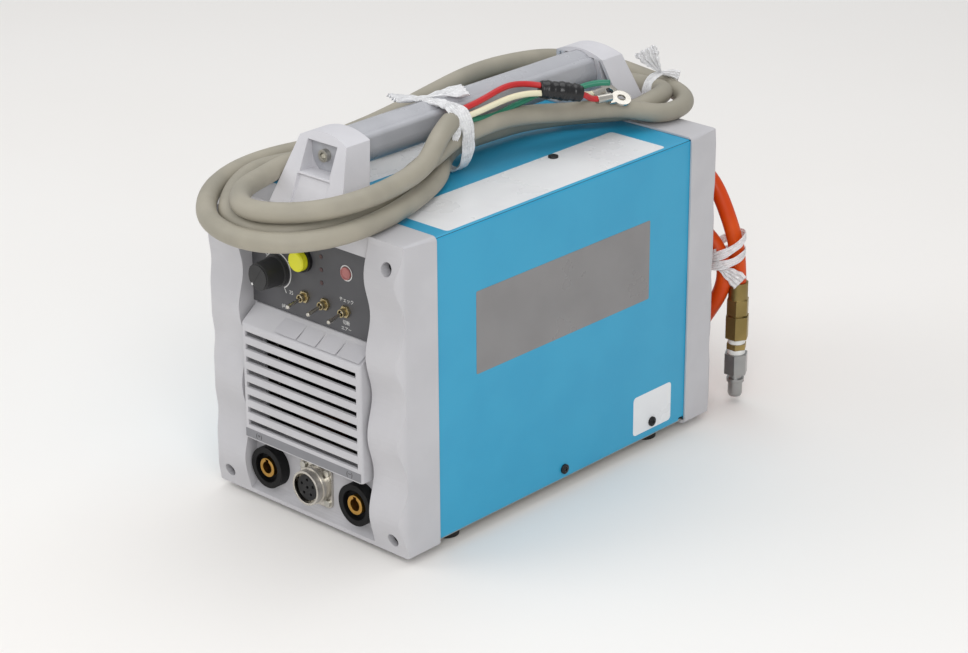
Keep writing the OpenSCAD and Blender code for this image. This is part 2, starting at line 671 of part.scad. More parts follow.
module output_socket(x) difference() {
    union() {
        rod_y(x, socket_z, -floor_y - socket_len, -floor_y, socket_r);
        rod_y(x, socket_z, -floor_y - 0.5, -pocket_y, 10.8);
        hex_y(x, socket_z, -pocket_y, -pocket_y + 5, 24);
    }
    rod_y(x, socket_z, -floor_y - socket_len - 1, -floor_y - socket_len + 5, 11.5);
    rod_y(x, socket_z, -floor_y - 30, -pocket_y + 8, contact_r);
}

module output_sockets() color("#222222") for (s = [-1, 1]) output_socket(s * socket_x);

module socket_contacts() color("goldenrod") for (x = [-socket_x, socket_x]) difference() {
    union() {
        rod_y(x, socket_z, -floor_y - socket_len + 0.5, -pocket_y + 9, contact_r);
        rod_y(x, socket_z, -pocket_y + 9, -pocket_y + 19, 4);
    }
    rod_y(x, socket_z, -floor_y - socket_len - 1, -pocket_y + 6, contact_bore_r);
    box([x - 1.6, -floor_y - socket_len - 1, socket_z + 2], [x + 1.6, -floor_y, socket_z + 6.4]);
}

module control_connector() color("silver") difference() {
    union() {
        rod_y(0, socket_z, -floor_y - plug_len, -floor_y, plug_r);
        rod_y(0, socket_z, -floor_y - plug_len + 5.5, -floor_y - plug_len + 8, plug_r + 0.9);
        translate([0, -floor_y - 1, socket_z]) rotate([90, 0, 0]) linear_extrude(2, center = true) round_rect(32, 32, 4);
        rod_y(0, socket_z, -floor_y - 0.5, -pocket_y + 4, 10.8);
    }
    rod_y(0, socket_z, -floor_y - plug_len - 1, -pocket_y + 6, plug_r - 3.2);
    rod_y(0, socket_z, -floor_y - plug_len - 1, -floor_y - plug_len + 7, plug_r - 1.6);
    for (sx = [-1, 1], sz = [-1, 1]) rod_y(sx * 12, socket_z + sz * 12, -floor_y - 3, -floor_y + 1, 1.7);
}

module connector_insert() color("#333333") difference() {
    rod_y(0, socket_z, -floor_y - plug_len + 2, -pocket_y + 6, plug_r - 3.3);
    for (a = [0 : 72 : 288]) rod_y(6 * sin(a), socket_z + 6 * cos(a), -floor_y - plug_len + 1, -floor_y, 1.2);
    rod_y(0, socket_z, -floor_y - plug_len + 1, -floor_y, 1.2);
}

module connector_screws() color("silver") for (sx = [-1, 1], sz = [-1, 1]) {
    rod_y(sx * 12, socket_z + sz * 12, -floor_y - 3.8, -floor_y - 2, 2.7);
    rod_y(sx * 12, socket_z + sz * 12, -floor_y - 2.5, -pocket_y + 2, 1.25);
}

// --- controls ---

module current_knob() color("#1c1c1c") difference() {
    translate([knob_x, -panel_y - 0.6, knob_z]) rotate([90, 0, 0]) {
        cylinder(h = 3, r = knob_r + 1.4);
        cylinder(h = knob_len - 1, r1 = knob_r + 0.4, r2 = knob_r - 0.4);
        cylinder(h = knob_len, r = knob_r - 1.4);
    }
    rod_y(knob_x, knob_z, -panel_y - 12, -panel_y + 1, shaft_r);
    rod_y(knob_x, knob_z, -panel_y - 2.9, -panel_y + 1, 6.5);
}

module knob_shaft() color("silver") rod_y(knob_x, knob_z, -panel_y - 12, -seat_y + 6, shaft_r);

module potentiometer() color("gray") difference() {
    union() {
        rod_y(knob_x, knob_z, -panel_y - 2.2, -seat_y + 1, 4.5);
        hex_y(knob_x, knob_z, -panel_y - 2, -panel_y, 10);
        rod_y(knob_x, knob_z, -seat_y, -board_y - board_t, 11);
    }
    rod_y(knob_x, knob_z, -panel_y - 4, -seat_y + 6, shaft_r + run_fit);
}

// Lever of a miniature toggle, with its ball in the bushing, tilted down at rest.
module toggle_lever(x) translate([x, -pivot_y, toggle_z]) rotate([lever_tilt, 0, 0]) {
    sphere(r = 2.1);
    rotate([0, 90, 0]) cylinder(h = 4.16, r = 0.6, center = true);
    rod_y(0, 0, -lever_len, 0, 1.45, 1.1);
    translate([0, -lever_len, 0]) sphere(r = 1.6);
}

module left_toggle_lever() color("silver") toggle_lever(toggle_xs[0]);
module middle_toggle_lever() color("silver") toggle_lever(toggle_xs[1]);
module right_toggle_lever() color("silver") toggle_lever(toggle_xs[2]);

module toggle_switches() color("darkgoldenrod") for (x = toggle_xs) difference() {
    union() {
        rod_y(x, toggle_z, -bush_y, -seat_y + 1, 3);
        box([x - 4, -seat_y, toggle_z - 6.5], [x + 4, -board_y - board_t, toggle_z + 6.5]);
    }
    rod_y(x, toggle_z, -bush_y - 1, -pivot_y + 4, 2.15);
}

module toggle_nuts() color("goldenrod") for (x = toggle_xs) difference() {
    hex_y(x, toggle_z, -panel_y - 2.2, -panel_y, 8);
    rod_y(x, toggle_z, -panel_y - 3, -panel_y + 1, 3.02);
}

module button_cap() color("yellow") {
    translate([button_x, -panel_y - button_up, button_z]) rotate([-90, 0, 0]) {
        cylinder(h = 1, r1 = button_r - 1, r2 = button_r);
        translate([0, 0, 1]) cylinder(h = 4.4, r = button_r);
        cylinder(h = button_up + 3, r = 3.5);
    }
}

module button_housing() color("#202020") difference() {
    union() {
        rod_y(button_x, button_z, -panel_y - 3, -panel_y, button_r + 1.6);
        rod_y(button_x, button_z, -panel_y - 1, -board_y - board_t, 7);
    }
    rod_y(button_x, button_z, -panel_y - 4, -panel_y - 0.4, button_r + 0.3);
    rod_y(button_x, button_z, -panel_y - 4, -panel_y + 3 + button_travel + 0.6, 3.55);
}

module power_lamp() color("firebrick") {
    difference() {
        translate([lamp_x, -panel_y - 1.4, lamp_z]) rotate([-90, 0, 0]) cylinder(h = 1.4, r = lamp_r);
        rod_y(lamp_x, lamp_z, -panel_y - 2, -panel_y - 1, lamp_r - 1);
    }
    rod_y(lamp_x, lamp_z, -panel_y - 1, -board_y - board_t, lamp_r - 0.9);
}

module status_lamps() color("darkgreen") for (i = [-1 : 1])
    rod_y(led_x, led_z + i * led_pitch, -panel_y - 0.3, -board_y - board_t, 1.5);

module control_board() color("darkgreen") difference() {
    box([-56, -board_y - board_t, 164], [56, -board_y, 218]);
    for (sx = [-1, 1], z = [168, 214]) rod_y(sx * 52, z, -board_y - 3, -board_y + 1, 1.6);
}

// --- power stage ---

module heat_sink() color("silver") {
    box([-sink_half, sink_y0, sink_top - 7], [sink_half, sink_y1, sink_top]);
    for (i = [0 : 15]) let (x = -sink_half + i * (2 * sink_half - 2) / 15)
        box([x, sink_y0, plate_top], [x + 2, sink_y1, sink_top - 6]);
}

module power_modules() color("#303030") for (x = [-40, 0, 40]) difference() {
    box([x - 16, -5, sink_top], [x + 16, 65, main_z]);
    for (y = [0, 60]) translate([x, y, sink_top - 1]) cylinder(h = 30, r = 2.6);
}

module main_board() color("darkgreen") difference() {
    box([-80, -20, main_z], [80, 90, main_z + 1.6]);
    for (x = [-40, 0, 40], y = [0, 60]) translate([x, y, main_z - 1]) cylinder(h = 4, r = 2.6);
}

module capacitors() color("navy") for (x = [-54, 0, 54]) translate([x, 32, main_z + 1.6]) {
    cylinder(h = 48, r = 17);
    cylinder(h = 50, r = 15);
}

module transformer_core() color("#404040") difference() {
    box([-72, -112, plate_top], [-8, -62, plate_top + 58]);
    box([-60, -113, plate_top + 12], [-48, -61, plate_top + 46]);
    box([-32, -113, plate_top + 12], [-20, -61, plate_top + 46]);
}

module transformer_winding() color("peru") difference() {
    box([-59.5, -122, plate_top + 12.5], [-20.5, -52, plate_top + 45.5]);
    box([-48.2, -112.2, plate_top + 12], [-31.8, -61.8, plate_top + 46]);
}

module output_reactor() color("darkorange") translate([34, -90, plate_top + 13]) {
    rotate_extrude() translate([21, 0]) round_rect(22, 26, 5);
}

module fan_frame() color("#2a2a2a") difference() {
    translate([0, fan_y, fan_z]) rotate([-90, 0, 0]) linear_extrude(fan_t) round_rect(2 * fan_half, 2 * fan_half, 5);
    difference() {
        rod_y(0, fan_z, fan_y - 1, fan_y + fan_t + 1, fan_r + 1.5);
        rod_y(0, fan_z, fan_y + fan_t - 5, fan_y + fan_t, hub_r);
        for (a = [45 : 90 : 315]) translate([0, fan_y + fan_t - 3, fan_z]) rotate([0, a, 0])
            translate([fan_r / 2 + 8, 0, 0]) cube([fan_r, 4, 5], center = true);
    }
    for (sx = [-1, 1], sz = [-1, 1]) rod_y(sx * 41.2, fan_z + sz * 41.2, fan_y - 1, fan_y + fan_t + 1, 2.2);
    rod_y(0, fan_z, fan_y - 1, fan_y + fan_t + 1, 2 + run_fit);
}

module fan_rotor() color("#3a3a3a") {
    rod_y(0, fan_z, fan_y + 2, fan_y + fan_t - 6, hub_r);
    rod_y(0, fan_z, fan_y + fan_t - 7, fan_y + fan_t - 1, 2);
    for (a = [0 : 360 / 7 : 359]) translate([0, fan_y + 10.5, fan_z]) rotate([0, a, 0])
        translate([(fan_r + hub_r) / 2 - 1, 0, 0]) rotate([35, 0, 0]) cube([fan_r - hub_r, 17, 2], center = true);
}

// --- rear fittings ---

module breaker_body() color("#252525") at_rear() difference() {
    union() {
        box([breaker_x - 17.8, -panel_y - 2, breaker_z - 11.8], [breaker_x + 17.8, -seat_y - 1, breaker_z + 11.8]);
        box([breaker_x - 22, -seat_y + bezel_wall + 0.2, breaker_z - 22],
            [breaker_x + 22, -bulk_y + 40, breaker_z + 18]);
        box([breaker_x - 17.8, -seat_y - 2, breaker_z - 11.8], [breaker_x + 17.8, -pocket_y + 2, breaker_z + 11.8]);
    }
    box([breaker_x - 9, -panel_y - 3, breaker_z - 8.2], [breaker_x + 9, -pocket_y + 8.5, breaker_z + 8.2]);
}

// Lever of the breaker: a drum on a cross shaft with a finger tab, off at rest.
module breaker_lever() color("whitesmoke") at_rear() translate([breaker_x, -panel_y + 6, breaker_z]) {
    rotate([0, 90, 0]) cylinder(h = 17.6, r = 6, center = true);
    rotate([breaker_tilt, 0, 0]) translate([0, -9, 0]) cube([12, 14, 4], center = true);
}

module air_valve() color("silver") {
    box([inlet_x - 16, bulk_y - 44, inlet_z - 14], [inlet_x + 16, bulk_y - 12, inlet_z + 14]);
    rod_y(inlet_x, inlet_z, bulk_y - 13, panel_y - bezel_wall - 3, 6);
    translate([inlet_x, bulk_y - 28, inlet_z + 14]) cylinder(h = 16, r = 11);
    translate([inlet_x + 16, valve_port_y, inlet_z]) rotate([0, 90, 0]) cylinder(h = 6, r = 4.6);
}

// Elbow with its hexagon on the rear panel and its hose tail pointing to the right.
module air_inlet() color("darkgoldenrod") {
    hex_y(inlet_x, inlet_z, panel_y, panel_y + 5, 17);
    rod_y(inlet_x, inlet_z, panel_y - bezel_wall - 3, panel_y + 11.6, 6.6);
    translate([inlet_x, panel_y + elbow_out, inlet_z]) {
        sphere(r = 8.2);
        rotate([0, 90, 0]) cylinder(h = 22, r1 = 8.2, r2 = 7);
    }
}

module air_tube() color("lightblue") tube(tube_route, 4, 8, [0.3, 0.1, 1]);

module cable_gland() color("#303030") difference() {
    union() {
        rod_y(gland_x, gland_z, panel_y, panel_y + 5, 15);
        rod_y(gland_x, gland_z, panel_y - 12, panel_y + 5, 10.8);
        rod_y(gland_x, gland_z, panel_y + 5, panel_y + 20, 12, 9);
    }
    rod_y(gland_x, gland_z, panel_y - 14, panel_y + 22, cable_r + 0.05);
}

module earth_terminal() color("silver") {
    rod_y(earth_x, earth_z, panel_y - 14, panel_y + 14, 2.9);
    hex_y(earth_x, earth_z, panel_y, panel_y + 4.4, 10);
    hex_y(earth_x, earth_z, panel_y + 6, panel_y + 10.4, 10);
}

// --- cords ---

module power_cable() color("tan") tube(cable_route, cable_r, 12, [1, 0, 0]);

// Outline of the hank: a long ring round both posts, waisted on the right beside the bar.
module hank_outline() {
    difference() {
        polygon(concat(arc([-17, -172], 76, 180, 270, 12), arc([5, -172], 76, 270, 360, 12),
            [[72, -110], [46, -50], [38, 0], [44, 50], [70, 105]],
            arc([18, 138], 74, 0, 90, 12), arc([-22, 138], 74, 90, 180, 12)));
        polygon(concat(arc([-4, -146], 43, 180, 270, 8), arc([2, -146], 43, 270, 360, 8),
            [[40, -118], [24, -60], [15.5, -20], [15.5, 30], [20, 70], [29, 108]],
            arc([0, 136], 42, 0, 90, 8), arc([-4, 136], 43, 90, 180, 8)));
    }
}

// The hank is one turn lower behind the jacket's cut end, where the terminals lie on it.
module cable_hank() color("tan") difference() {
    translate([0, 0, hank_z0]) linear_extrude(hank_h) hank_outline();
    box([12, hank_end_y, hank_low_z], [120, 260, hank_z0 + hank_h + 1]);
    box([-post_foot_half - 0.5, post_back - 0.5, z1], [post_foot_half + 0.5, post_front + 0.5, z1 + 30]);
}

module core_wires() color("firebrick") {
    for (p = concat(core_routes, tail_routes)) tube(p, core_r, 8, [1, 0, 0.2]);
}

// Two crimped ring terminals above the hank, turned about their barrels so that their rings lean to the right.
module ring_terminals() color("silver") for (p = lugs_at)
    translate([p[0], p[1], hank_low_z + lug_lift]) rotate([0, 0, p[2]]) rotate([0, lug_lean, 0])
        translate([0, 0, -lug_drop]) {
            difference() {
                union() {
                    translate([0, lug_reach, 0]) cylinder(h = 1.6, r = 7.6);
                    box([-3.5, 9, 0], [3.5, lug_reach - 4, 1.6]);
                }
                translate([0, lug_reach, -1]) cylinder(h = 4, r = lug_hole_r);
            }
            translate([0, -2, lug_drop]) rotate([-90, 0, 0]) cylinder(h = 12.5, r = 3.3);
            box([-2, 6, 1], [2, 10.5, 3]);
        }

module tape_wrap() color("#181818") {
    d = tape_to - tape_from;
    translate(tape_from) rotate([0, acos(d[2] / norm(d)), atan2(d[1], d[0])]) cylinder(h = norm(d), r = tape_r);
}

module air_hose() color("orangered") {
    tube(hose_start, hose_r, 10, [0, 0, 1]);
    tube(hose_end, hose_r, 10, [0, 1, 0]);
}

module hose_coil() color("orangered") translate(coil_c) rotate([90, 0, 0])
    rotate_extrude() translate([coil_r, 0]) round_rect(26, 26, 6);

// Brass hose fitting hanging from the hose's end, axis upright: sleeve, two hexagons and a threaded nipple.
module hose_fitting() color("darkgoldenrod") translate([fitting_at[0], fitting_at[1], plug_low]) {
    translate([0, 0, 83]) cylinder(h = 14.5, r = 7.8);
    translate([0, 0, 70.5]) cylinder(h = 12.6, r = 16 / sqrt(3), $fn = 6);
    translate([0, 0, 69]) cylinder(h = 1.6, r = 7.4);
    translate([0, 0, 50]) cylinder(h = 19.1, r = 17 / sqrt(3), $fn = 6);
    translate([0, 0, 40.8]) cylinder(h = 4.6, r = 14.5 / sqrt(3), $fn = 6);
    translate([0, 0, 36.6]) cylinder(h = 13.5, r = 6.2);
}

// Steel quick plug with its hexagon, neck, collar and nose.
module air_plug() color("silver") translate([fitting_at[0], fitting_at[1], plug_low]) difference() {
    union() {
        translate([0, 0, 19.4]) cylinder(h = 17.2, r = 17 / sqrt(3), $fn = 6);
        translate([0, 0, 15.2]) cylinder(h = 4.3, r = 5.4);
        translate([0, 0, 12.2]) cylinder(h = 3.1, r = 7);
        translate([0, 0, 2]) cylinder(h = 10.3, r = 5.8);
        cylinder(h = 2.2, r1 = 5, r2 = 5.8);
    }
    translate([0, 0, -1]) cylinder(h = 33, r = 3);
}

base_plate();
outer_cover();
front_bezel();
rear_bezel();
front_grille();
control_panel();
front_handle_post();
rear_handle_post();
handle_bar();
handle_bolts();
post_screws();
bezel_screws();
cover_screws();
rubber_feet();
foot_screws();
front_bulkhead();
rear_bulkhead();
output_sockets();
socket_contacts();
control_connector();
connector_insert();
connector_screws();
current_knob();
knob_shaft();
potentiometer();
left_toggle_lever();
middle_toggle_lever();
right_toggle_lever();
toggle_switches();
toggle_nuts();
button_cap();
button_housing();
power_lamp();
status_lamps();
control_board();
main_board();
capacitors();
heat_sink();
power_modules();
transformer_core();
transformer_winding();
output_reactor();
fan_frame();
fan_rotor();
breaker_body();
breaker_lever();
air_valve();
air_tube();
air_inlet();
cable_gland();
earth_terminal();
power_cable();
cable_hank();
core_wires();
ring_terminals();
tape_wrap();
air_hose();
hose_coil();
hose_fitting();
air_plug();
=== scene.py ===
import math

import bpy
import numpy as np
from mathutils import Matrix, Vector


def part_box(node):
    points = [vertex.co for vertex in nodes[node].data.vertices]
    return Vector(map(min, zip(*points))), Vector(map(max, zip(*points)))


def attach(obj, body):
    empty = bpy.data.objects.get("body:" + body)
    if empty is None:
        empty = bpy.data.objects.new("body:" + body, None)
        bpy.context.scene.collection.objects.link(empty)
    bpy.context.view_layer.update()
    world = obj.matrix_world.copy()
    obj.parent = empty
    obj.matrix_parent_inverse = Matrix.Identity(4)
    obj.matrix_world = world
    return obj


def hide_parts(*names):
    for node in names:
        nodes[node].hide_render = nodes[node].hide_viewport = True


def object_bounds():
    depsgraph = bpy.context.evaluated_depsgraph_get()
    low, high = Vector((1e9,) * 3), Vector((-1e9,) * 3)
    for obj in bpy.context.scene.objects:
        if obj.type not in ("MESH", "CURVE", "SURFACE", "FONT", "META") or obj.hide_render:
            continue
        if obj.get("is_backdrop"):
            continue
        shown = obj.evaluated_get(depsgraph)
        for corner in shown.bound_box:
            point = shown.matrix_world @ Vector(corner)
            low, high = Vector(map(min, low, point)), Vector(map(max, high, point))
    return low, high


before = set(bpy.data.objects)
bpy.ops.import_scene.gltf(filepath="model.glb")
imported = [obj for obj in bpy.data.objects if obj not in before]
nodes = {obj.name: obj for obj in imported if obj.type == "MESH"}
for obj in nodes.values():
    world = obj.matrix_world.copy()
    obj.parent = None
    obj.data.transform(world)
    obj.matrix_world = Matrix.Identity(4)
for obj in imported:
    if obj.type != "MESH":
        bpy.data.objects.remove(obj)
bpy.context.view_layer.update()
print("frame loaded:", len(nodes), "nodes")

mm = 0.001
tau = 2 * math.pi
# a tube's end: how far its rim and its tip stand out and how wide the rim is, as shares of the radius
domeRim, domeTip, domeShare = 0.08, 0.10, 0.93


# a node socket that can stand in a sum
class Wire:
    def __init__(self, finish, socket):
        self.finish, self.socket = finish, socket

    def maths(self, operation, *others, swap=False):
        values = [self, *others]
        if swap:
            values.reverse()
        return self.finish.node("ShaderNodeMath", {"operation": operation}, dict(enumerate(values)))

    def __add__(self, other):
        return self.maths("ADD", other)

    def __rsub__(self, other):
        return self.maths("SUBTRACT", other, swap=True)

    def __mul__(self, other):
        return self.maths("MULTIPLY", other)

    def __lt__(self, other):
        return self.maths("LESS_THAN", other)

    def absolute(self):
        return self.maths("ABSOLUTE")

    __radd__ = __add__
    __rmul__ = __mul__


# linear colour from the 0 to 255 values that a screen shows
def linear(r, g, b):
    c = np.array([r, g, b], float) / 255
    return tuple(np.where(c <= 0.04045, c / 12.92, ((c + 0.055) / 1.055) ** 2.4)) + (1.0,)


# a procedural material that is built up node by node
class Finish:
    def __init__(self, name, **fixed):
        self.material = bpy.data.materials.new(name)
        self.material.use_nodes = True
        self.tree = self.material.node_tree
        self.tree.nodes.clear()
        self.shader = self.tree.nodes.new("ShaderNodeBsdfPrincipled")
        out = self.tree.nodes.new("ShaderNodeOutputMaterial")
        self.tree.links.new(self.shader.outputs[0], out.inputs["Surface"])
        for key, value in fixed.items():
            self.shader.inputs[key.replace("_", " ")].default_value = value
        self.coords = None

    def node(self, kind, settings=None, values=None, output=0):
        made = self.tree.nodes.new(kind)
        for key, value in (settings or {}).items():
            setattr(made, key, value)
        for key, value in (values or {}).items():
            if isinstance(value, Wire):
                self.tree.links.new(value.socket, made.inputs[key])
            else:
                made.inputs[key].default_value = value
        return Wire(self, made.outputs[output])

    def feed(self, socket, value):
        if isinstance(value, Wire):
            self.tree.links.new(value.socket, self.shader.inputs[socket])
        else:
            self.shader.inputs[socket].default_value = value

    def place(self):
        if self.coords is None:
            self.coords = self.node("ShaderNodeTexCoord", output="Object")
        return self.coords

    def stretched(self, scale):
        return self.node("ShaderNodeMapping", {}, {"Vector": self.place(), "Scale": scale})

    def noise(self, scale, detail=2.0, rough=0.5, vector=None):
        return self.node("ShaderNodeTexNoise", {}, {"Vector": vector or self.place(), "Scale": scale,
                                                    "Detail": detail, "Roughness": rough})

    def ramp(self, value, low, high, start=0.0, end=1.0):
        return self.node("ShaderNodeMapRange", {"interpolation_type": "SMOOTHSTEP"},
                         {"Value": value, "From Min": low, "From Max": high, "To Min": start, "To Max": end})

    def mix(self, factor, a, b):
        made = self.tree.nodes.new("ShaderNodeMix")
        made.data_type = "RGBA"
        for index, value in ((0, factor), (6, a), (7, b)):
            if isinstance(value, Wire):
                self.tree.links.new(value.socket, made.inputs[index])
            else:
                made.inputs[index].default_value = value
        return Wire(self, made.outputs[2])

    # 1 along sharp outer edges and corners and 0 on flat faces, by how far a rounded normal turns
    def edges(self, radius):
        rounded = self.node("ShaderNodeBevel", {"samples": 6}, {"Radius": radius})
        straight = self.node("ShaderNodeNewGeometry", output="Normal")
        return 1.0 - self.node("ShaderNodeVectorMath", {"operation": "DOT_PRODUCT"},
                               {0: rounded, 1: straight}, output="Value")

    def bump(self, height, distance, strength=1.0, rounding=0.0):
        values = {"Height": height, "Distance": distance, "Strength": strength}
        if rounding:
            values["Normal"] = self.node("ShaderNodeBevel", {"samples": 6}, {"Radius": rounding})
        self.feed("Normal", self.node("ShaderNodeBump", {}, values))


def paint(names, finish):
    for name in names.split():
        piece = nodes[name] if name in nodes else bpy.data.objects[name]
        piece.data.materials.clear()
        piece.data.materials.append(finish.material)


# an object at the origin from an array of points, a list of faces and, if given, a UV pair for each point
def mesh(name, points, faces, smooth=True, uv=None):
    data = bpy.data.meshes.new(name)
    data.from_pydata(np.asarray(points).tolist(), [], faces)
    data.polygons.foreach_set("use_smooth", np.full(len(faces), smooth))
    if uv is not None:
        order = [k for face in faces for k in face]
        data.uv_layers.new(name="Along").data.foreach_set("uv", uv[order].astype(np.float32).ravel())
    made = bpy.data.objects.new(name, data)
    bpy.context.scene.collection.objects.link(made)
    return made


# four-cornered faces over a grid of points, closed across its columns if wrap is true
def gridFaces(rows, columns, wrap, start=0):
    i = np.arange(rows - 1)[:, None] * columns
    j = np.arange(columns if wrap else columns - 1)[None]
    k = (j + 1) % columns
    return np.stack([i + j, i + k, i + columns + k, i + columns + j], axis=-1).reshape(-1, 4) + start


# points step apart on the natural cubic spline through the given points
def smoothLine(points, step):
    p = np.array(points, float)
    t = np.concatenate([[0], np.cumsum(np.sqrt(np.linalg.norm(np.diff(p, axis=0), axis=1)))])
    h, m = np.diff(t), len(p)
    system = np.eye(m)
    inner = np.arange(1, m - 1)
    system[inner, inner - 1], system[inner, inner + 1] = h[:-1], h[1:]
    system[inner, inner] = 2 * (h[:-1] + h[1:])
    slope = np.diff(p, axis=0) / h[:, None]
    right = np.zeros_like(p)
    right[1:-1] = 6 * np.diff(slope, axis=0)
    bend = np.linalg.solve(system, right)
    s = np.linspace(0, t[-1], 40 * m)
    i = np.clip(np.searchsorted(t, s, side="right") - 1, 0, m - 2)
    a, c, w = (t[i + 1] - s)[:, None], (s - t[i])[:, None], h[i][:, None]
    line = (bend[i] * a ** 3 + bend[i + 1] * c ** 3) / (6 * w) + (p[i] / w - bend[i] * w / 6) * a \
        + (p[i + 1] / w - bend[i + 1] * w / 6) * c
    along = np.concatenate([[0], np.cumsum(np.linalg.norm(np.diff(line, axis=0), axis=1))])
    at = np.linspace(0, along[-1], int(round(along[-1] / step)) + 1)
    return np.stack([np.interp(at, along, line[:, k]) for k in range(3)], axis=1)


def lineLength(line):
    return float(np.linalg.norm(np.diff(line, axis=0), axis=1).sum())


# two unit vectors across the line at each of its points, turning as little as they can along it
def carried(line):
    ahead = np.gradient(line, axis=0)
    ahead /= np.linalg.norm(ahead, axis=1)[:, None]
    side = np.empty_like(line)
    first = np.cross(ahead[0], [0.31, 0.17, 0.94])
    side[0] = first / np.linalg.norm(first)
    for k in range(1, len(line)):
        across = side[k - 1] - ahead[k] * (side[k - 1] @ ahead[k])
        side[k] = across / np.linalg.norm(across)
    return side, np.cross(ahead, side)


# points, faces and UVs of a closed tube: a circle whose radius is one number, or one for each point of the
# line, is carried along the line, and each end is a shallow dome
def tubeParts(line, radius, around):
    radius = np.broadcast_to(np.asarray(radius, float), (len(line),))
    side, up = carried(line)
    ahead = np.cross(side, up)
    middles = np.concatenate([[line[0] - ahead[0] * radius[0] * domeRim], line,
                              [line[-1] + ahead[-1] * radius[-1] * domeRim]])
    radii = np.concatenate([[radius[0] * domeShare], radius, [radius[-1] * domeShare]])
    angle = np.linspace(0, tau, around, endpoint=False)
    side, up = (np.concatenate([v[:1], v, v[-1:]])[:, None] for v in (side, up))
    ring = side * np.cos(angle)[None, :, None] + up * np.sin(angle)[None, :, None]
    tips = [line[0] - ahead[0] * radius[0] * domeTip, line[-1] + ahead[-1] * radius[-1] * domeTip]
    points = np.concatenate([(middles[:, None] + ring * radii[:, None, None]).reshape(-1, 3), tips])
    rows, last = len(middles), len(middles) * around
    j = np.arange(around)
    k = (j + 1) % around
    ends = [np.stack([np.full(around, last), k, j], axis=1),
            np.stack([np.full(around, last + 1), last - around + j, last - around + k], axis=1)]
    faces = gridFaces(rows, around, True).tolist() + np.concatenate(ends).tolist()
    along = np.concatenate([[0], np.cumsum(np.linalg.norm(np.diff(middles, axis=0), axis=1))])
    uv = np.stack(np.broadcast_arrays(along[:, None], angle[None] / tau), axis=-1).reshape(-1, 2)
    return points, faces, np.concatenate([uv, [[0, 0], [along[-1], 0]]])


# one piece made of a tube for each (line, radius) of the stretches
def tube(name, stretches, around=24):
    points, faces, uvs, start = [], [], [], 0
    for line, radius in stretches:
        p, f, uv = tubeParts(line, radius, around)
        points.append(p)
        uvs.append(uv)
        faces += [[start + k for k in face] for face in f]
        start += len(p)
    return mesh(name, np.concatenate(points), faces, uv=np.concatenate(uvs))


cameraFacts = {"place": (1279.0, -1363.8, 893.6), "heading": 42.83, "down": 22.89, "roll": -0.29,
               "lens": 99.75, "sensor": 36}


def makeCamera():
    a, e, r = (math.radians(cameraFacts[k]) for k in ("heading", "down", "roll"))
    ahead = Vector((-math.sin(a) * math.cos(e), math.cos(a) * math.cos(e), -math.sin(e)))
    right = Vector((math.cos(a), math.sin(a), 0))
    up = right.cross(ahead)
    right, up = math.cos(r) * right + math.sin(r) * up, -math.sin(r) * right + math.cos(r) * up
    made = bpy.data.objects.new("camera", bpy.data.cameras.new("camera"))
    made.data.lens, made.data.sensor_width = cameraFacts["lens"], cameraFacts["sensor"]
    made.data.clip_start, made.data.clip_end = 0.05, 60
    made.matrix_world = Matrix((right, up, -ahead)).transposed().to_4x4()
    made.location = Vector(cameraFacts["place"]) * mm
    bpy.context.scene.collection.objects.link(made)
    bpy.context.scene.camera = made


makeCamera()
print("camera placed")

# mains cable: gland, riser, then two and a half turns round the handle posts
mainsCable = {"diameter": 14.5, "exit": (-35, 179.5, 56), "length": 3.03}
cableRise = [[-35, 172, 56], [-35, 190, 56], [-35, 208, 58.5], [-36, 230, 67], [-38, 247, 88],
             [-41, 254, 118], [-46, 254, 155], [-54, 247, 195], [-62, 230, 231], [-71, 207, 250]]
cableLeftOne = [[-80, 183, 255], [-86, 155, 253], [-84, 115, 250.5], [-76, 60, 249.8], [-69, 10, 249.7],
                [-70, -40, 249.7], [-80, -85, 249.8]]
cableFrontOne = [[-86, -115, 250], [-84, -150, 250.3], [-67, -190, 251], [-44, -218, 251],
                 [-19, -236, 250.5], [12, -243, 250], [39, -236, 250], [57, -215, 250], [65, -185, 250],
                 [62, -144, 250], [49, -101, 250], [32, -66, 250], [15, -44, 250.2]]
cableRightOne = [[2, -24, 250.4], [-6, 0, 250.5], [-6, 30, 250.5], [-4, 58, 250.3], [3, 82, 250],
                 [14, 103, 250], [28, 122, 250.3], [41.5, 139, 252], [46.5, 154, 256], [45, 168, 257],
                 [37, 180, 256], [22, 186, 254.5]]
cableLeftTwo = [[0, 188, 253], [-25, 184, 252], [-45, 172, 251.5], [-58, 150, 251], [-63, 115, 250.5],
                [-59, 60, 250], [-53, 10, 249.8], [-51, -40, 249.8], [-60, -85, 249.8],
                [-69, -120, 250.5]]
cableFrontTwo = [[-68.5, -150, 252], [-53, -183, 251.5], [-33, -207, 251], [-14.6, -221.5, 251],
                 [12, -228, 251.5], [33, -221.5, 252], [44.5, -205, 252], [49.5, -182, 252],
                 [46.5, -146, 252.5], [43, -125, 254.5], [36, -96, 260.5], [32, -70, 266],
                 [25, -46, 268.5]]
cableRightTwo = [[22.4, -25, 270], [22.3, 0, 271.2], [22.7, 30, 269.3], [27, 60, 265], [31, 80, 262],
                 [38.5, 104, 260], [47.5, 123, 257.5], [56.5, 140, 252.5], [61.5, 155, 250],
                 [62, 168, 250], [57, 182, 250.3], [44, 194, 251], [22, 201.5, 252]]
cableLeftThree = [[-5, 203, 254], [-32, 199, 257.5], [-55, 186, 260], [-66, 167, 264], [-73, 140, 266.5],
                  [-77, 95, 267.5], [-70, 38, 266], [-62, -5, 264.8], [-55, -50, 264], [-50, -95, 263.5],
                  [-42, -135, 262.5]]
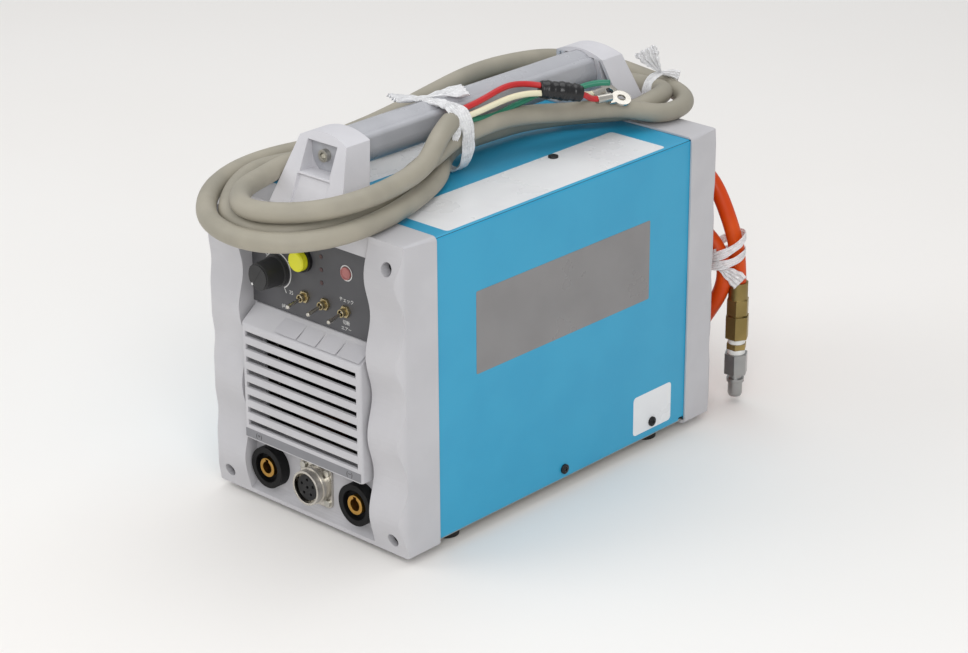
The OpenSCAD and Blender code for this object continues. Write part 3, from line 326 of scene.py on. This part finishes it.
cableFrontThree = [[-41, -150, 262], [-33, -177, 262.8], [-24, -199, 264], [-9, -218, 265.2],
                   [6.5, -229, 266], [24, -230, 266.7], [46, -214, 267], [60.5, -181, 268],
                   [58.5, -131, 269], [49.5, -96, 272.5], [39, -74, 279], [31, -57, 283],
                   [26, -46, 284.5]]
cableRoute = cableRise + cableLeftOne + cableFrontOne + cableRightOne + cableLeftTwo + cableFrontTwo \
    + cableRightTwo + cableLeftThree + cableFrontThree
cableLine = smoothLine(cableRoute, 3.0) * mm
cablePiece = tube("mains_cable", [(cableLine, mainsCable["diameter"] / 2 * mm)], 28)
print("mains cable length", round(lineLength(cableLine), 3))

# the three cores beyond the jacket's cut end, bound together by tape before their ends
coreRadius = 2.3
redRoutes = [[[27, -50, 287], [24, -38, 289], [22, -22, 289.5], [20.5, 0, 291.5], [19.5, 20, 293.5],
             [23, 38, 292], [33.3, 50.8, 289.1], [38, 58, 287]], [[44, 66, 282], [47, 76, 279.5],
             [44.6, 86, 274], [45.4, 96.5, 271.3]]]
whiteRoutes = [[[29.6, -50, 283.4], [28, -38, 284.6], [26.5, -22, 284.8], [24.8, 0, 285.5], [26, 20, 287],
               [30, 37, 286.5], [35, 48.9, 284.8], [39, 56, 283.8]], [[40, 68, 282], [38.5, 78, 279],
               [35, 90, 274], [34, 103, 271.3]]]
greenRoutes = [[[25.4, -50, 281.6], [24, -38, 280.8], [23.2, -22, 279.3], [23, 2, 276.5], [22.5, 22, 278],
               [25, 38, 281], [30.7, 51.4, 284.8], [36, 58, 284.5]], [[44.3, 69.1, 285.1], [50, 76, 288],
               [56, 82, 289.4], [62, 87, 289.6]]]
coreRoutes = {"core_red": redRoutes, "core_white": whiteRoutes, "core_green": greenRoutes}
corePieces = [tube(name, [(smoothLine(route, 2.0) * mm, coreRadius * mm) for route in routes], 16)
              for name, routes in coreRoutes.items()]

tapeLine = smoothLine([[30, 46, 287.6], [38.5, 59.5, 284.8], [46, 72.5, 281.8]], 0.8) * mm
along = np.linspace(0, 1, len(tapeLine))
# its radius swells and shrinks by three sine waves along it, each given by its height, its number of waves
# and its phase, and narrows at both ends
tapeSleeve = {"radius": 6.9, "ripples": ((0.32, 2.3, 0), (0.22, 6.1, 1), (0.12, 13.7, 0)), "narrowing": 0.9}
ripple = sum(height * np.sin(tau * waves * along + phase) for height, waves, phase in tapeSleeve["ripples"])
tapeRadius = (tapeSleeve["radius"] + ripple - tapeSleeve["narrowing"] * np.abs(2 * along - 1) ** 6) * mm
tapePiece = tube("tape_sleeve", [(tapeLine, tapeRadius)], 32)

# air hose: elbow, two turns behind the case, then down to its fitting
airHose = {"diameter": 12.5, "exit": (32, 171.4, 202), "coilCentre": (-11, 95), "coilRadius": 79,
           "firstTurnY": 187, "turnApart": 16, "pull": 20, "pullAngle": 436, "pullSpread": 17, "widest": 22}
hoseStart = [[26, 171.4, 202], [32, 171.4, 202], [46, 172.5, 200.5], [58, 176, 193], [67, 180, 180],
             [72, 184, 162], [74, 186.5, 140]]
# the coil is a circle that the tie pulls out to the right, by a bell-shaped bump, on its second pass, and
# that widens at the top of its last quarter turn; its second turn stands behind the first
turn = np.arange(90, 706, 12.0)
crossOver = np.clip((turn - 310) / 160, 0, 1)
widening = np.clip((turn - 630) / 90, 0, 1)
bump = np.exp(-((turn - airHose["pullAngle"]) / airHose["pullSpread"]) ** 2 / 2)
coilReach = airHose["coilRadius"] + airHose["pull"] * bump \
    + airHose["widest"] * widening * widening * (3 - 2 * widening)
coilY = airHose["firstTurnY"] + airHose["turnApart"] * crossOver * crossOver * (3 - 2 * crossOver)
coilPoints = np.stack([airHose["coilCentre"][0] + coilReach * np.sin(np.radians(turn)), coilY,
                       airHose["coilCentre"][1] + coilReach * np.cos(np.radians(turn))], axis=1)
hoseEnd = [[8, 203, 197.5], [24, 203, 199.5], [42, 203, 198], [58, 203, 192.5], [70, 204, 183],
           [78, 205.5, 170], [84, 207, 156], [89, 208.5, 141], [92, 210, 124], [93, 211, 101]]
hoseLine = smoothLine(hoseStart + coilPoints.tolist() + hoseEnd, 3.0) * mm
hosePiece = tube("air_hose_run", [(hoseLine, airHose["diameter"] / 2 * mm)], 24)
print("air hose length", round(lineLength(hoseLine), 3))
fittingAxis = np.mean(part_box("hose_fitting"), axis=0)[:2]


# line and radii of a short tube, wavy along its length, round the fitting's axis, for the tape on a thread
def ringRound(radius, low, high):
    line = np.array([[*fittingAxis, z] for z in np.linspace(low, high, 7)])
    return line, radius + 0.00015 * np.sin(np.arange(7) * 2.1)


# radius, low end and high end of the tape above the plug and below the large hexagon
tapeRings = ((0.0071, 0.0423, 0.0463), (0.0069, 0.0511, 0.0555))
threadTape = tube("thread_tape", [ringRound(*ring) for ring in tapeRings], 32)

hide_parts("power_cable", "cable_hank")
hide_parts("air_hose", "hose_coil")
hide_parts("core_wires")
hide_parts("tape_wrap")
for piece in [cablePiece, hosePiece, tapePiece, threadTape, *corePieces]:
    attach(piece, "case")


# closed prisms on each outline: its points run across right and up from corner and rise by thickness
def plate(name, outlines, corner, right, up, thickness):
    corner, right, up = (np.array(v, float) for v in (corner, right, up))
    right, up = right / np.linalg.norm(right), up / np.linalg.norm(up)
    out = np.cross(right, up)
    points, faces, start = [], [], 0
    for outline in outlines:
        flat = np.array(outline, float)
        n = len(flat)
        base = corner + flat[:, :1] * right + flat[:, 1:] * up
        points += [base, base + out * thickness]
        ring = np.arange(n)
        faces += [(start + ring[::-1]).tolist(), (start + n + ring).tolist()]
        k = (ring + 1) % n
        faces += (start + np.stack([ring, k, k + n, ring + n], axis=1)).tolist()
        start += 2 * n
    data = bpy.data.meshes.new(name)
    data.from_pydata((np.concatenate(points) * mm).tolist(), [], faces)
    made = bpy.data.objects.new(name, data)
    bpy.context.scene.collection.objects.link(made)
    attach(made, "case")
    return made


# anticlockwise outline of a rectangle whose corners are quarter circles
def roundedRect(low, high, radius, steps=5):
    angle = np.radians(np.concatenate([np.linspace(q, q + 90, steps) for q in (0, 90, 180, 270)]))
    corners = [[high[0], high[1]], [low[0], high[1]], [low[0], low[1]], [high[0], low[1]]]
    inner = np.repeat(corners, steps, axis=0)
    signs = np.repeat([[-1, -1], [1, -1], [1, 1], [-1, 1]], steps, axis=0)
    return inner + signs * radius + radius * np.stack([np.cos(angle), np.sin(angle)], axis=1)


# outline of a band of the given width along an arc, in degrees anticlockwise from the right
def arcBand(middle, radius, width, start, end, steps=40):
    angle = np.radians(np.linspace(start, end, steps))
    ray = np.stack([np.cos(angle), np.sin(angle)], axis=1)
    return np.concatenate([middle + ray * (radius + width / 2), (middle + ray * (radius - width / 2))[::-1]])


# words as a thin raised print, centred on middle in the plane of right and up through corner
def lettering(name, words, middle, height, corner, right, up):
    curve = bpy.data.curves.new(name, "FONT")
    curve.body, curve.size, curve.align_x, curve.align_y = words, height, "CENTER", "CENTER"
    curve.extrude, curve.resolution_u = 0.03, 3
    letters = bpy.data.objects.new(name + "Curve", curve)
    bpy.context.scene.collection.objects.link(letters)
    bpy.context.view_layer.update()
    data = bpy.data.meshes.new_from_object(letters.evaluated_get(bpy.context.evaluated_depsgraph_get()))
    bpy.data.objects.remove(letters)
    flat = np.empty(len(data.vertices) * 3)
    data.vertices.foreach_get("co", flat)
    flat = flat.reshape(-1, 3)
    corner, right, up = (np.array(v, float) for v in (corner, right, up))
    placed = corner + (flat[:, :1] + middle[0]) * right + (flat[:, 1:2] + middle[1]) * up \
        + (flat[:, 2:] + 0.03) * np.cross(right, up)
    data.vertices.foreach_set("co", (placed * mm).ravel())
    data.update()
    made = bpy.data.objects.new(name, data)
    bpy.context.scene.collection.objects.link(made)
    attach(made, "case")
    return made


xAxis, yAxis, zAxis = (1, 0, 0), (0, 1, 0), (0, 0, 1)
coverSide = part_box("outer_cover")[1][0] / mm
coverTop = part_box("outer_cover")[1][2] / mm
onSide, onTop = ((coverSide, 0, 0), yAxis, zAxis), ((0, 0, coverTop), xAxis, yAxis)
stickerThick = 0.14
# two opposite corners, corner radius and the face it is on
stickers = {"side_sticker": ((-98, 126), (92.5, 189), 1.2, onSide),
            "top_sticker": ((42, -123), (95, 113), 3, onTop),
            "low_sticker": ((77, 16), (122, 48), 3, onSide),
            "handle_sticker": ((-62, -100), (-14, 40), 2.5, onTop)}
for name, (low, high, radius, where) in stickers.items():
    plate(name, [roundedRect(low, high, radius)], *where, stickerThick)

grille = [np.array(v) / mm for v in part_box("front_grille")]
grilleFace, grilleLow = grille[0][1], grille[0][2]
stripThick = 0.12
stripRect = roundedRect((-59.5, grilleLow + 0.8), (59.5, grilleLow + 7.6), 0.4)
plate("socket_strip", [stripRect], (0, grilleFace, 0), xAxis, zAxis, stripThick)
shelfSlope = np.array([0, 17, 10]) / math.hypot(17, 10)
shelfEdges = ((-27, -4.7), (-3.3, 14.8), (16.2, 35.3), (36.7, 59))
shelfRects = [roundedRect((a, 1.2), (b, 17.6), 0.5) for a, b in shelfEdges]
plate("shelf_stickers", shelfRects, (0, grilleFace, 147), xAxis, shelfSlope, stripThick)

# print on the control panel: scale, its ends and the words that can be read
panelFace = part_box("control_panel")[0][1] / mm
knobMiddle = np.array([-37.5, 187.5])
onPanel = ((0, panelFace, 0), xAxis, zAxis)
printThick = 0.05
# the scale's arc, then its marks: radius, width, first and last angle and number of points of each band
scaleBands = [(13.4, 0.9, -62, 158, 40), (15.4, 4.6, -64, -61.6, 3), (14.6, 3.0, 88, 90.6, 3),
              (14.6, 3.0, 38, 40.6, 3), (14.6, 3.0, 140, 142.6, 3)]
plate("knob_scale", [arcBand(knobMiddle, *band) for band in scaleBands], *onPanel, printThick)
lampMiddle = np.array([32.4, 203.5])
plate("lamp_ring", [arcBand(lampMiddle, 5.5, 0.8, a, a + 180) for a in (0, 180)], *onPanel, printThick)
# words, middle and height
panelWords = {"scale_end_number": ("35", (-24.4, 173.4), 4.2),
              "scale_unit": ("(A)", (-32.2, 161.2), 3.8),
              "check_word": ("チェック", (32, 182.6), 3.6),
              "cutting_word": ("切断", (31.2, 165.6), 3.6),
              "air_word": ("エアー", (31.2, 160.9), 3.4)}
for name, printed in panelWords.items():
    lettering(name, *printed, *onPanel)
for name, words, across in (("plus_sign", "(+)", -45.7), ("minus_sign", "(−)", 48)):
    lettering(name, words, (across, grilleLow + 4.1), 5.2, (0, grilleFace - stripThick, 0), xAxis, zAxis)

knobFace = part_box("current_knob")[0][1] / mm
onKnob = ((knobMiddle[0], knobFace, knobMiddle[1]), xAxis, zAxis)
dotMiddle = np.array([-5.6, -6.2])
dotHalves = [arcBand(dotMiddle, 0.5, 0.96, a, a + 180, 8) for a in (0, 180)]
knobDot = plate("knob_pointer", dotHalves, *onKnob, 0.06)
knobLine = plate("knob_line", [[(-4.9, -5.9), (-4.5, -6.2), (5.1, 7.6), (4.7, 7.9)]], *onKnob, printThick)
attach(knobDot, "knob")
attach(knobLine, "knob")

# plastic film ties
filmThick = 0.00012


# thin film tied round something: for each stretch a strip is carried along a route, and its half-width
# changes from end to end. Its ripple is a sine wave across it, whose phase drifts along the route, plus half
# as much of a finer one
def film(name, stretches):
    points, faces, start, area, longest = [], [], 0, 0.0, 0.0
    for stretch in stretches:
        line = smoothLine(stretch["route"], 1.0)
        n = len(line)
        t = np.linspace(0, 1, n)
        half = np.interp(t, np.linspace(0, 1, len(stretch["half"])), stretch["half"])
        ahead = np.gradient(line, axis=0)
        ahead /= np.linalg.norm(ahead, axis=1)[:, None]
        across = np.array(stretch["across"], float)
        across = across - ahead * (ahead @ across)[:, None]
        across /= np.linalg.norm(across, axis=1)[:, None]
        out = np.cross(ahead, across)
        v = np.linspace(-1, 1, 33)
        folds, height = stretch.get("folds", 5), stretch.get("height", 0.7)
        phase = stretch.get("phase", 0.0) + 2.4 * np.sin(tau * t * n / 46)
        wave = np.sin(folds * math.pi * v[None] + phase[:, None]) \
            + 0.5 * np.sin(2.3 * folds * math.pi * v[None] + 9 * t[:, None])
        ragged = 1 + 0.08 * np.sin(31 * t)[:, None]
        grid = line[:, None] + across[:, None] * (half[:, None] * ragged * v[None])[..., None] \
            + out[:, None] * (height * wave * np.clip(half / 4, 0.5, 1.4)[:, None])[..., None]
        points.append(grid.reshape(-1, 3))
        faces += gridFaces(n, len(v), False, start).tolist()
        start += n * len(v)
        cells = np.cross(grid[1:, :-1] - grid[:-1, :-1], grid[:-1, 1:] - grid[:-1, :-1])
        area += float(np.linalg.norm(cells, axis=2).sum()) * mm * mm
        longest += lineLength(line) * mm
    made = mesh(name, np.concatenate(points) * mm, faces)
    wall = made.modifiers.new("wall", "SOLIDIFY")
    wall.thickness, wall.offset = filmThick, 0
    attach(made, "case")
    print(name, "flat", round(area / longest, 4), round(longest, 4))
    return made


film("front_tie", [
    {"route": [[-12, -36, 291.8], [4, -36, 292.2], [18, -38, 293.2], [29, -39, 291], [34.5, -37, 281],
               [33.2, -35, 269], [30, -34, 256], [23, -33, 245.5], [14, -33, 242.2], [5, -33, 244.5],
               [-3, -34, 256], [-12, -35, 263], [-15.8, -36, 272], [-15.8, -36, 284], [-13, -36, 291.3]],
     "across": (0, 1, 0), "half": (5, 5, 6.5, 6, 5, 5, 5, 5), "height": 0.5},
    {"route": [[-17, -62, 297], [-13, -51, 294.8], [-9, -41, 293.4], [-3, -28, 294.3], [7, -10, 295.6]],
     "across": (1, -0.4, 0), "half": (8, 5.5, 2.4, 8.5, 12), "height": 0.9, "folds": 4, "phase": 1.0},
    {"route": [[-9, -41, 293.2], [0, -41, 293.4], [10, -40, 293.4], [20, -39, 292.8]], "across": (0, 1, 0),
     "half": (2.5, 5, 6.5, 5), "height": 0.7, "folds": 4, "phase": 0.4},
    {"route": [[14, -38, 293.6], [23, -44, 294], [31, -46, 287], [32.5, -47, 276], [28, -50, 262]],
     "across": (0.1, 1, 0.2), "half": (3, 3.5, 4, 3.5, 2), "height": 0.5, "folds": 3, "phase": 2.0}])
film("rear_tie", [
    {"route": [[24, 193, 264.5], [24, 184, 263.5], [24, 177, 257], [24, 177.5, 249], [24, 185, 245.6],
               [24, 196, 243.6], [24, 207, 244.5], [24, 210.5, 252], [24, 206, 259.5], [24, 198, 263],
               [24, 192, 264.4]],
     "across": (1, 0, 0), "half": (3.5, 4.5, 4.5, 4, 4, 4, 4.5, 3.5), "height": 0.4},
    {"route": [[24, 193, 264], [22, 190, 270], [19, 186, 277], [16, 183, 284]], "across": (0.8, 0.6, 0),
     "half": (1.2, 4, 8, 9.5), "height": 1.2, "folds": 4},
    {"route": [[24, 192, 264], [29, 197, 264.5], [35, 203, 262.5]], "across": (0, 0.4, 1),
     "half": (1.2, 2.6, 4), "height": 0.7, "folds": 3}])


# route of a closed loop round both runs of the hose, tilted up to the right
def hoseLoop(z, tilt):
    angle = np.radians(np.arange(200, 561, 30))
    return np.stack([85.5 + 14.8 * np.cos(angle), 203.6 + 15.2 * np.sin(angle),
                     z + tilt * np.cos(angle - math.radians(43))], axis=1).tolist()


loopStrip = {"across": (0, 0, 1), "half": (3.2, 3.6, 3.4, 3.2, 3.4, 3.2), "height": 0.4, "folds": 3}
film("hose_tie", [
    {"route": hoseLoop(134, 8.5), **loopStrip}, {"route": hoseLoop(124, 5), **loopStrip, "phase": 1.5},
    {"route": [[80, 192, 132], [83, 191, 126], [88, 192, 121], [95, 196.5, 114], [102.5, 200.5, 107]],
     "across": (0.55, 0.1, 0.83), "half": (4.5, 3, 3.5, 6.5, 9), "height": 0.8,
     "folds": 4}])
print("stickers, prints and ties made")


def makeFloor():
    floor = mesh("floor", np.array([[-4, -4, 0], [4, -4, 0], [4, 4, 0], [-4, 4, 0]]), [[0, 1, 2, 3]], False)
    finish = Finish("floorPaint", Roughness=0.75, Specular_IOR_Level=0.25)
    pale, paler = linear(240, 237, 233), linear(243, 241, 238)
    finish.feed("Base Color", finish.mix(finish.noise(3.0, 4.0), pale, paler))
    finish.bump(finish.noise(60.0, 5.0), 0.0006, 0.3)
    floor.data.materials.append(finish.material)
    floor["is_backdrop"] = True


def areaLight(name, place, target, size, power):
    data = bpy.data.lights.new(name, "AREA")
    data.shape, data.size, data.energy = "SQUARE", size, power
    made = bpy.data.objects.new(name, data)
    made.location = place
    made.rotation_euler = (Vector(target) - Vector(place)).to_track_quat("-Z", "Y").to_euler()
    bpy.context.scene.collection.objects.link(made)


# place, the point it faces, size in metres and power in watts
studioLights = {"key": ((1.6, -1.5, 1.5), (0, 0, 0.12), 1.4, 25),
                "fill": ((-1.6, -1.6, 1.6), (0, 0, 0.12), 1.6, 16),
                "top": ((-0.2, 0.5, 2.4), (0, 0, 0.1), 2.0, 19)}


def makeLight():
    for name, facts in studioLights.items():
        areaLight(name, *facts)
    world = bpy.data.worlds.new("studio")
    bpy.context.scene.world = world
    world.use_nodes = True
    tree = world.node_tree
    tree.nodes.clear()
    soft, seen = tree.nodes.new("ShaderNodeBackground"), tree.nodes.new("ShaderNodeBackground")
    soft.inputs["Color"].default_value, soft.inputs["Strength"].default_value = (0.97, 0.98, 1.0, 1), 0.54
    seen.inputs["Color"].default_value, seen.inputs["Strength"].default_value = linear(241, 239, 236), 1.0
    path, mixed, out = (tree.nodes.new("ShaderNode" + k) for k in ("LightPath", "MixShader", "OutputWorld"))
    tree.links.new(path.outputs["Is Camera Ray"], mixed.inputs[0])
    tree.links.new(soft.outputs[0], mixed.inputs[1])
    tree.links.new(seen.outputs[0], mixed.inputs[2])
    tree.links.new(mixed.outputs[0], out.inputs["Surface"])
    bpy.context.scene.view_settings.view_transform = "Standard"


makeFloor()
makeLight()
print("floor and light made")


# moulded plastic, paint or metal: fine grain is noise used as height, faint cloudiness is coarse noise that
# mixes two colours, roughness rises and falls by patchy with another noise, and where wear is given the
# rubbed edges are 6 times the turn of a rounded normal times noise
def speckled(name, colour, other, rough, scale=900.0, depth=0.00005, wear=None, rounding=0.0005, patchy=0.055,
             **fixed):
    finish = Finish(name, **fixed)
    cloud = finish.ramp(finish.noise(22.0, 3.0), 0.35, 0.65)
    base = finish.mix(cloud, linear(*colour), linear(*other))
    if wear:
        rubbed = finish.ramp(finish.edges(0.0009) * 6.0 * finish.noise(70.0, 4.0), 0.55, 1.1)
        base = finish.mix(rubbed, base, linear(*wear))
    finish.feed("Base Color", base)
    finish.feed("Roughness", finish.ramp(finish.noise(35.0, 4.0), 0.3, 0.7, rough - patchy, rough + patchy))
    finish.bump(finish.noise(scale, 2.0, 0.6), depth, 0.6, rounding)
    return finish


coverPaint = speckled("coverPaint", (41, 154, 194), (45, 158, 197), 0.36, 700.0, 0.00006, patchy=0.02)
# the blue paint is outside only, and the inside faces get near-black painted shade for the dark interior of
# the case instead of the bare sheet's own colour: a point is inside where it is more than half the sheet's
# thickness within the outer face, both across, on either side, and upwards
halfSheet = 0.0006
apart = coverPaint.node("ShaderNodeSeparateXYZ", {}, {"Vector": coverPaint.place()})
upwards = Wire(coverPaint, apart.socket.node.outputs["Z"])
insideShadeMask = (apart.absolute() < coverSide * mm - halfSheet) * (upwards < coverTop * mm - halfSheet)
painted = Wire(coverPaint, coverPaint.shader.inputs["Base Color"].links[0].from_socket)
# inside faces: near-black painted shade in place of the blue paint
coverPaint.feed("Base Color", coverPaint.mix(insideShadeMask, painted, linear(26, 30, 33)))
paint("outer_cover", coverPaint)

# two colours, roughness, then what differs from a plain finish, and the pieces that have it
finishes = {
    "casePlastic": ((188, 187, 190), (193, 192, 195), 0.52, {"scale": 1500.0, "depth": 0.00006},
     "front_bezel rear_bezel front_grille"),
    "blackPlastic": ((22, 22, 23), (27, 27, 28), 0.48,
     {"scale": 1200.0, "wear": (54, 54, 54), "Specular_IOR_Level": 0.35},
     "connector_insert button_housing cable_gland fan_frame fan_rotor breaker_body power_modules"),
    "panelSheet": ((76, 76, 79), (82, 82, 85), 0.55, {"scale": 1600.0, "depth": 0.00004}, "control_panel"),
    "barPaint": ((170, 171, 176), (178, 179, 184), 0.3, {"scale": 600.0, "wear": (204, 204, 204)},
     "handle_bar"),
    "postPlastic": ((203, 202, 206), (209, 208, 212), 0.5, {"scale": 1500.0, "depth": 0.00006},
     "front_handle_post rear_handle_post"),
    "socketPlastic": ((13, 13, 14), (17, 17, 18), 0.55, {"scale": 1200.0, "Specular_IOR_Level": 0.2},
     "output_sockets"),
    "knobPlastic": ((38, 38, 39), (45, 45, 46), 0.5, {"scale": 1200.0, "wear": (70, 70, 70)},
     "current_knob"),
    "toggleBrass": ((172, 158, 122), (190, 176, 140), 0.4,
     {"scale": 400.0, "depth": 0.00004, "Metallic": 1.0}, "toggle_switches toggle_nuts"),
    "dullLens": ((70, 44, 44), (84, 52, 50), 0.3, {}, "status_lamps"),
    "cableJacket": ((150, 145, 131), (162, 156, 141), 0.55, {"scale": 500.0, "depth": 0.00008},
     "mains_cable"),
    "hoseOrange": ((204, 66, 6), (212, 78, 12), 0.4, {"scale": 300.0, "Specular_IOR_Level": 0.3},
     "air_hose_run"),
    "yellowPlastic": ((222, 220, 34), (226, 224, 40), 0.32, {}, "button_cap"),
    "pinkLens": ((160, 96, 94), (172, 106, 102), 0.3, {}, "power_lamp"),
    "whitePlastic": ((226, 226, 222), (230, 230, 226), 0.4, {}, "breaker_lever thread_tape"),
    "tapeFinish": ((18, 18, 20), (26, 26, 28), 0.3, {"scale": 260.0, "depth": 0.0004}, "tape_sleeve"),
    "coreRed": ((190, 30, 34), (200, 38, 40), 0.35, {}, "core_red"),
    "coreWhite": ((228, 222, 190), (234, 229, 200), 0.4, {}, "core_white"),
    "coreGreen": ((20, 110, 84), (26, 120, 92), 0.35, {}, "core_green"),
    "zincSteel": ((180, 178, 170), (196, 194, 186), 0.35,
     {"scale": 300.0, "depth": 0.00004, "Metallic": 1.0},
     "base_plate front_bulkhead rear_bulkhead handle_bolts post_screws foot_screws connector_screws "
     "knob_shaft potentiometer heat_sink air_valve"),
    "blackSteel": ((34, 34, 36), (44, 44, 46), 0.4,
     {"scale": 600.0, "depth": 0.00004, "wear": (110, 110, 108), "Metallic": 0.6},
     "bezel_screws cover_screws"),
    "brassMetal": ((172, 132, 66), (196, 152, 80), 0.34,
     {"scale": 400.0, "depth": 0.00004, "Metallic": 1.0}, "socket_contacts earth_terminal"),
    "agedBrass": ((142, 124, 78), (170, 148, 96), 0.42,
     {"scale": 300.0, "depth": 0.00006, "wear": (196, 176, 120), "Metallic": 1.0},
     "air_inlet hose_fitting"),
    "plugSteel": ((146, 147, 147), (168, 168, 167), 0.34,
     {"scale": 300.0, "depth": 0.00003, "Metallic": 1.0}, "air_plug"),
    "nickel": ((188, 184, 174), (204, 200, 192), 0.26, {"scale": 300.0, "depth": 0.00003, "Metallic": 1.0},
     "left_toggle_lever middle_toggle_lever right_toggle_lever control_connector ring_terminals"),
    "boardGreen": ((18, 74, 48), (22, 84, 54), 0.4, {}, "control_board main_board"),
    "copperWire": ((150, 82, 44), (172, 98, 54), 0.35, {"scale": 200.0, "depth": 0.0002, "Metallic": 0.9},
     "transformer_winding output_reactor"),
    "darkSteel": ((70, 70, 72), (84, 84, 86), 0.5, {"scale": 200.0, "depth": 0.0001, "Metallic": 0.7},
     "transformer_core"),
    "sleeveBlue": ((28, 34, 66), (34, 40, 74), 0.3, {}, "capacitors"),
    "tubeBlue": ((120, 160, 200), (130, 170, 208), 0.3, {}, "air_tube"),
    "rubberBlack": ((24, 24, 24), (32, 32, 32), 0.75, {"scale": 500.0, "depth": 0.0001}, "rubber_feet"),
    "stickerWhite": ((226, 227, 229), (231, 232, 233), 0.3, {"depth": 0.00003, "rounding": 0},
     "top_sticker low_sticker handle_sticker"),
    "stickerGrey": ((128, 126, 126), (133, 131, 131), 0.32, {"depth": 0.00003, "rounding": 0},
     "side_sticker"),
    "stripGrey": ((122, 122, 126), (128, 128, 132), 0.4, {"depth": 0.00003, "rounding": 0},
     "socket_strip"),
    "shelfPaper": ((186, 185, 189), (192, 191, 195), 0.45, {"depth": 0.00003, "rounding": 0},
     "shelf_stickers"),
    "printWhite": ((214, 214, 212), (220, 220, 218), 0.5, {"depth": 0.00002, "rounding": 0},
     "knob_scale lamp_ring knob_pointer scale_end_number scale_unit check_word cutting_word air_word"),
    "printBlack": ((14, 14, 15), (18, 18, 19), 0.5, {"depth": 0.00002, "rounding": 0},
     "knob_line plus_sign minus_sign"),
}
for name, (colour, other, rough, rest, pieces) in finishes.items():
    paint(pieces, speckled(name, colour, other, rough, **rest))

filmWhite = Finish("filmWhite", Roughness=0.28, Transmission_Weight=0.25, IOR=1.4)
# streaks along Y: noise squeezed in X and Z sets the colour, the height and how thin the film looks
streak = filmWhite.noise(1.0, 3.0, 0.6, filmWhite.stretched((260, 90, 260)))
filmWhite.feed("Base Color", filmWhite.mix(streak, linear(246, 246, 248), linear(254, 254, 254)))
filmWhite.feed("Alpha", filmWhite.ramp(streak, 0.3, 0.62, 0.72, 0.98))
filmWhite.bump(streak, 0.0006, 0.7)
paint("front_tie rear_tie hose_tie", filmWhite)
print("finishes made")

low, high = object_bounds()
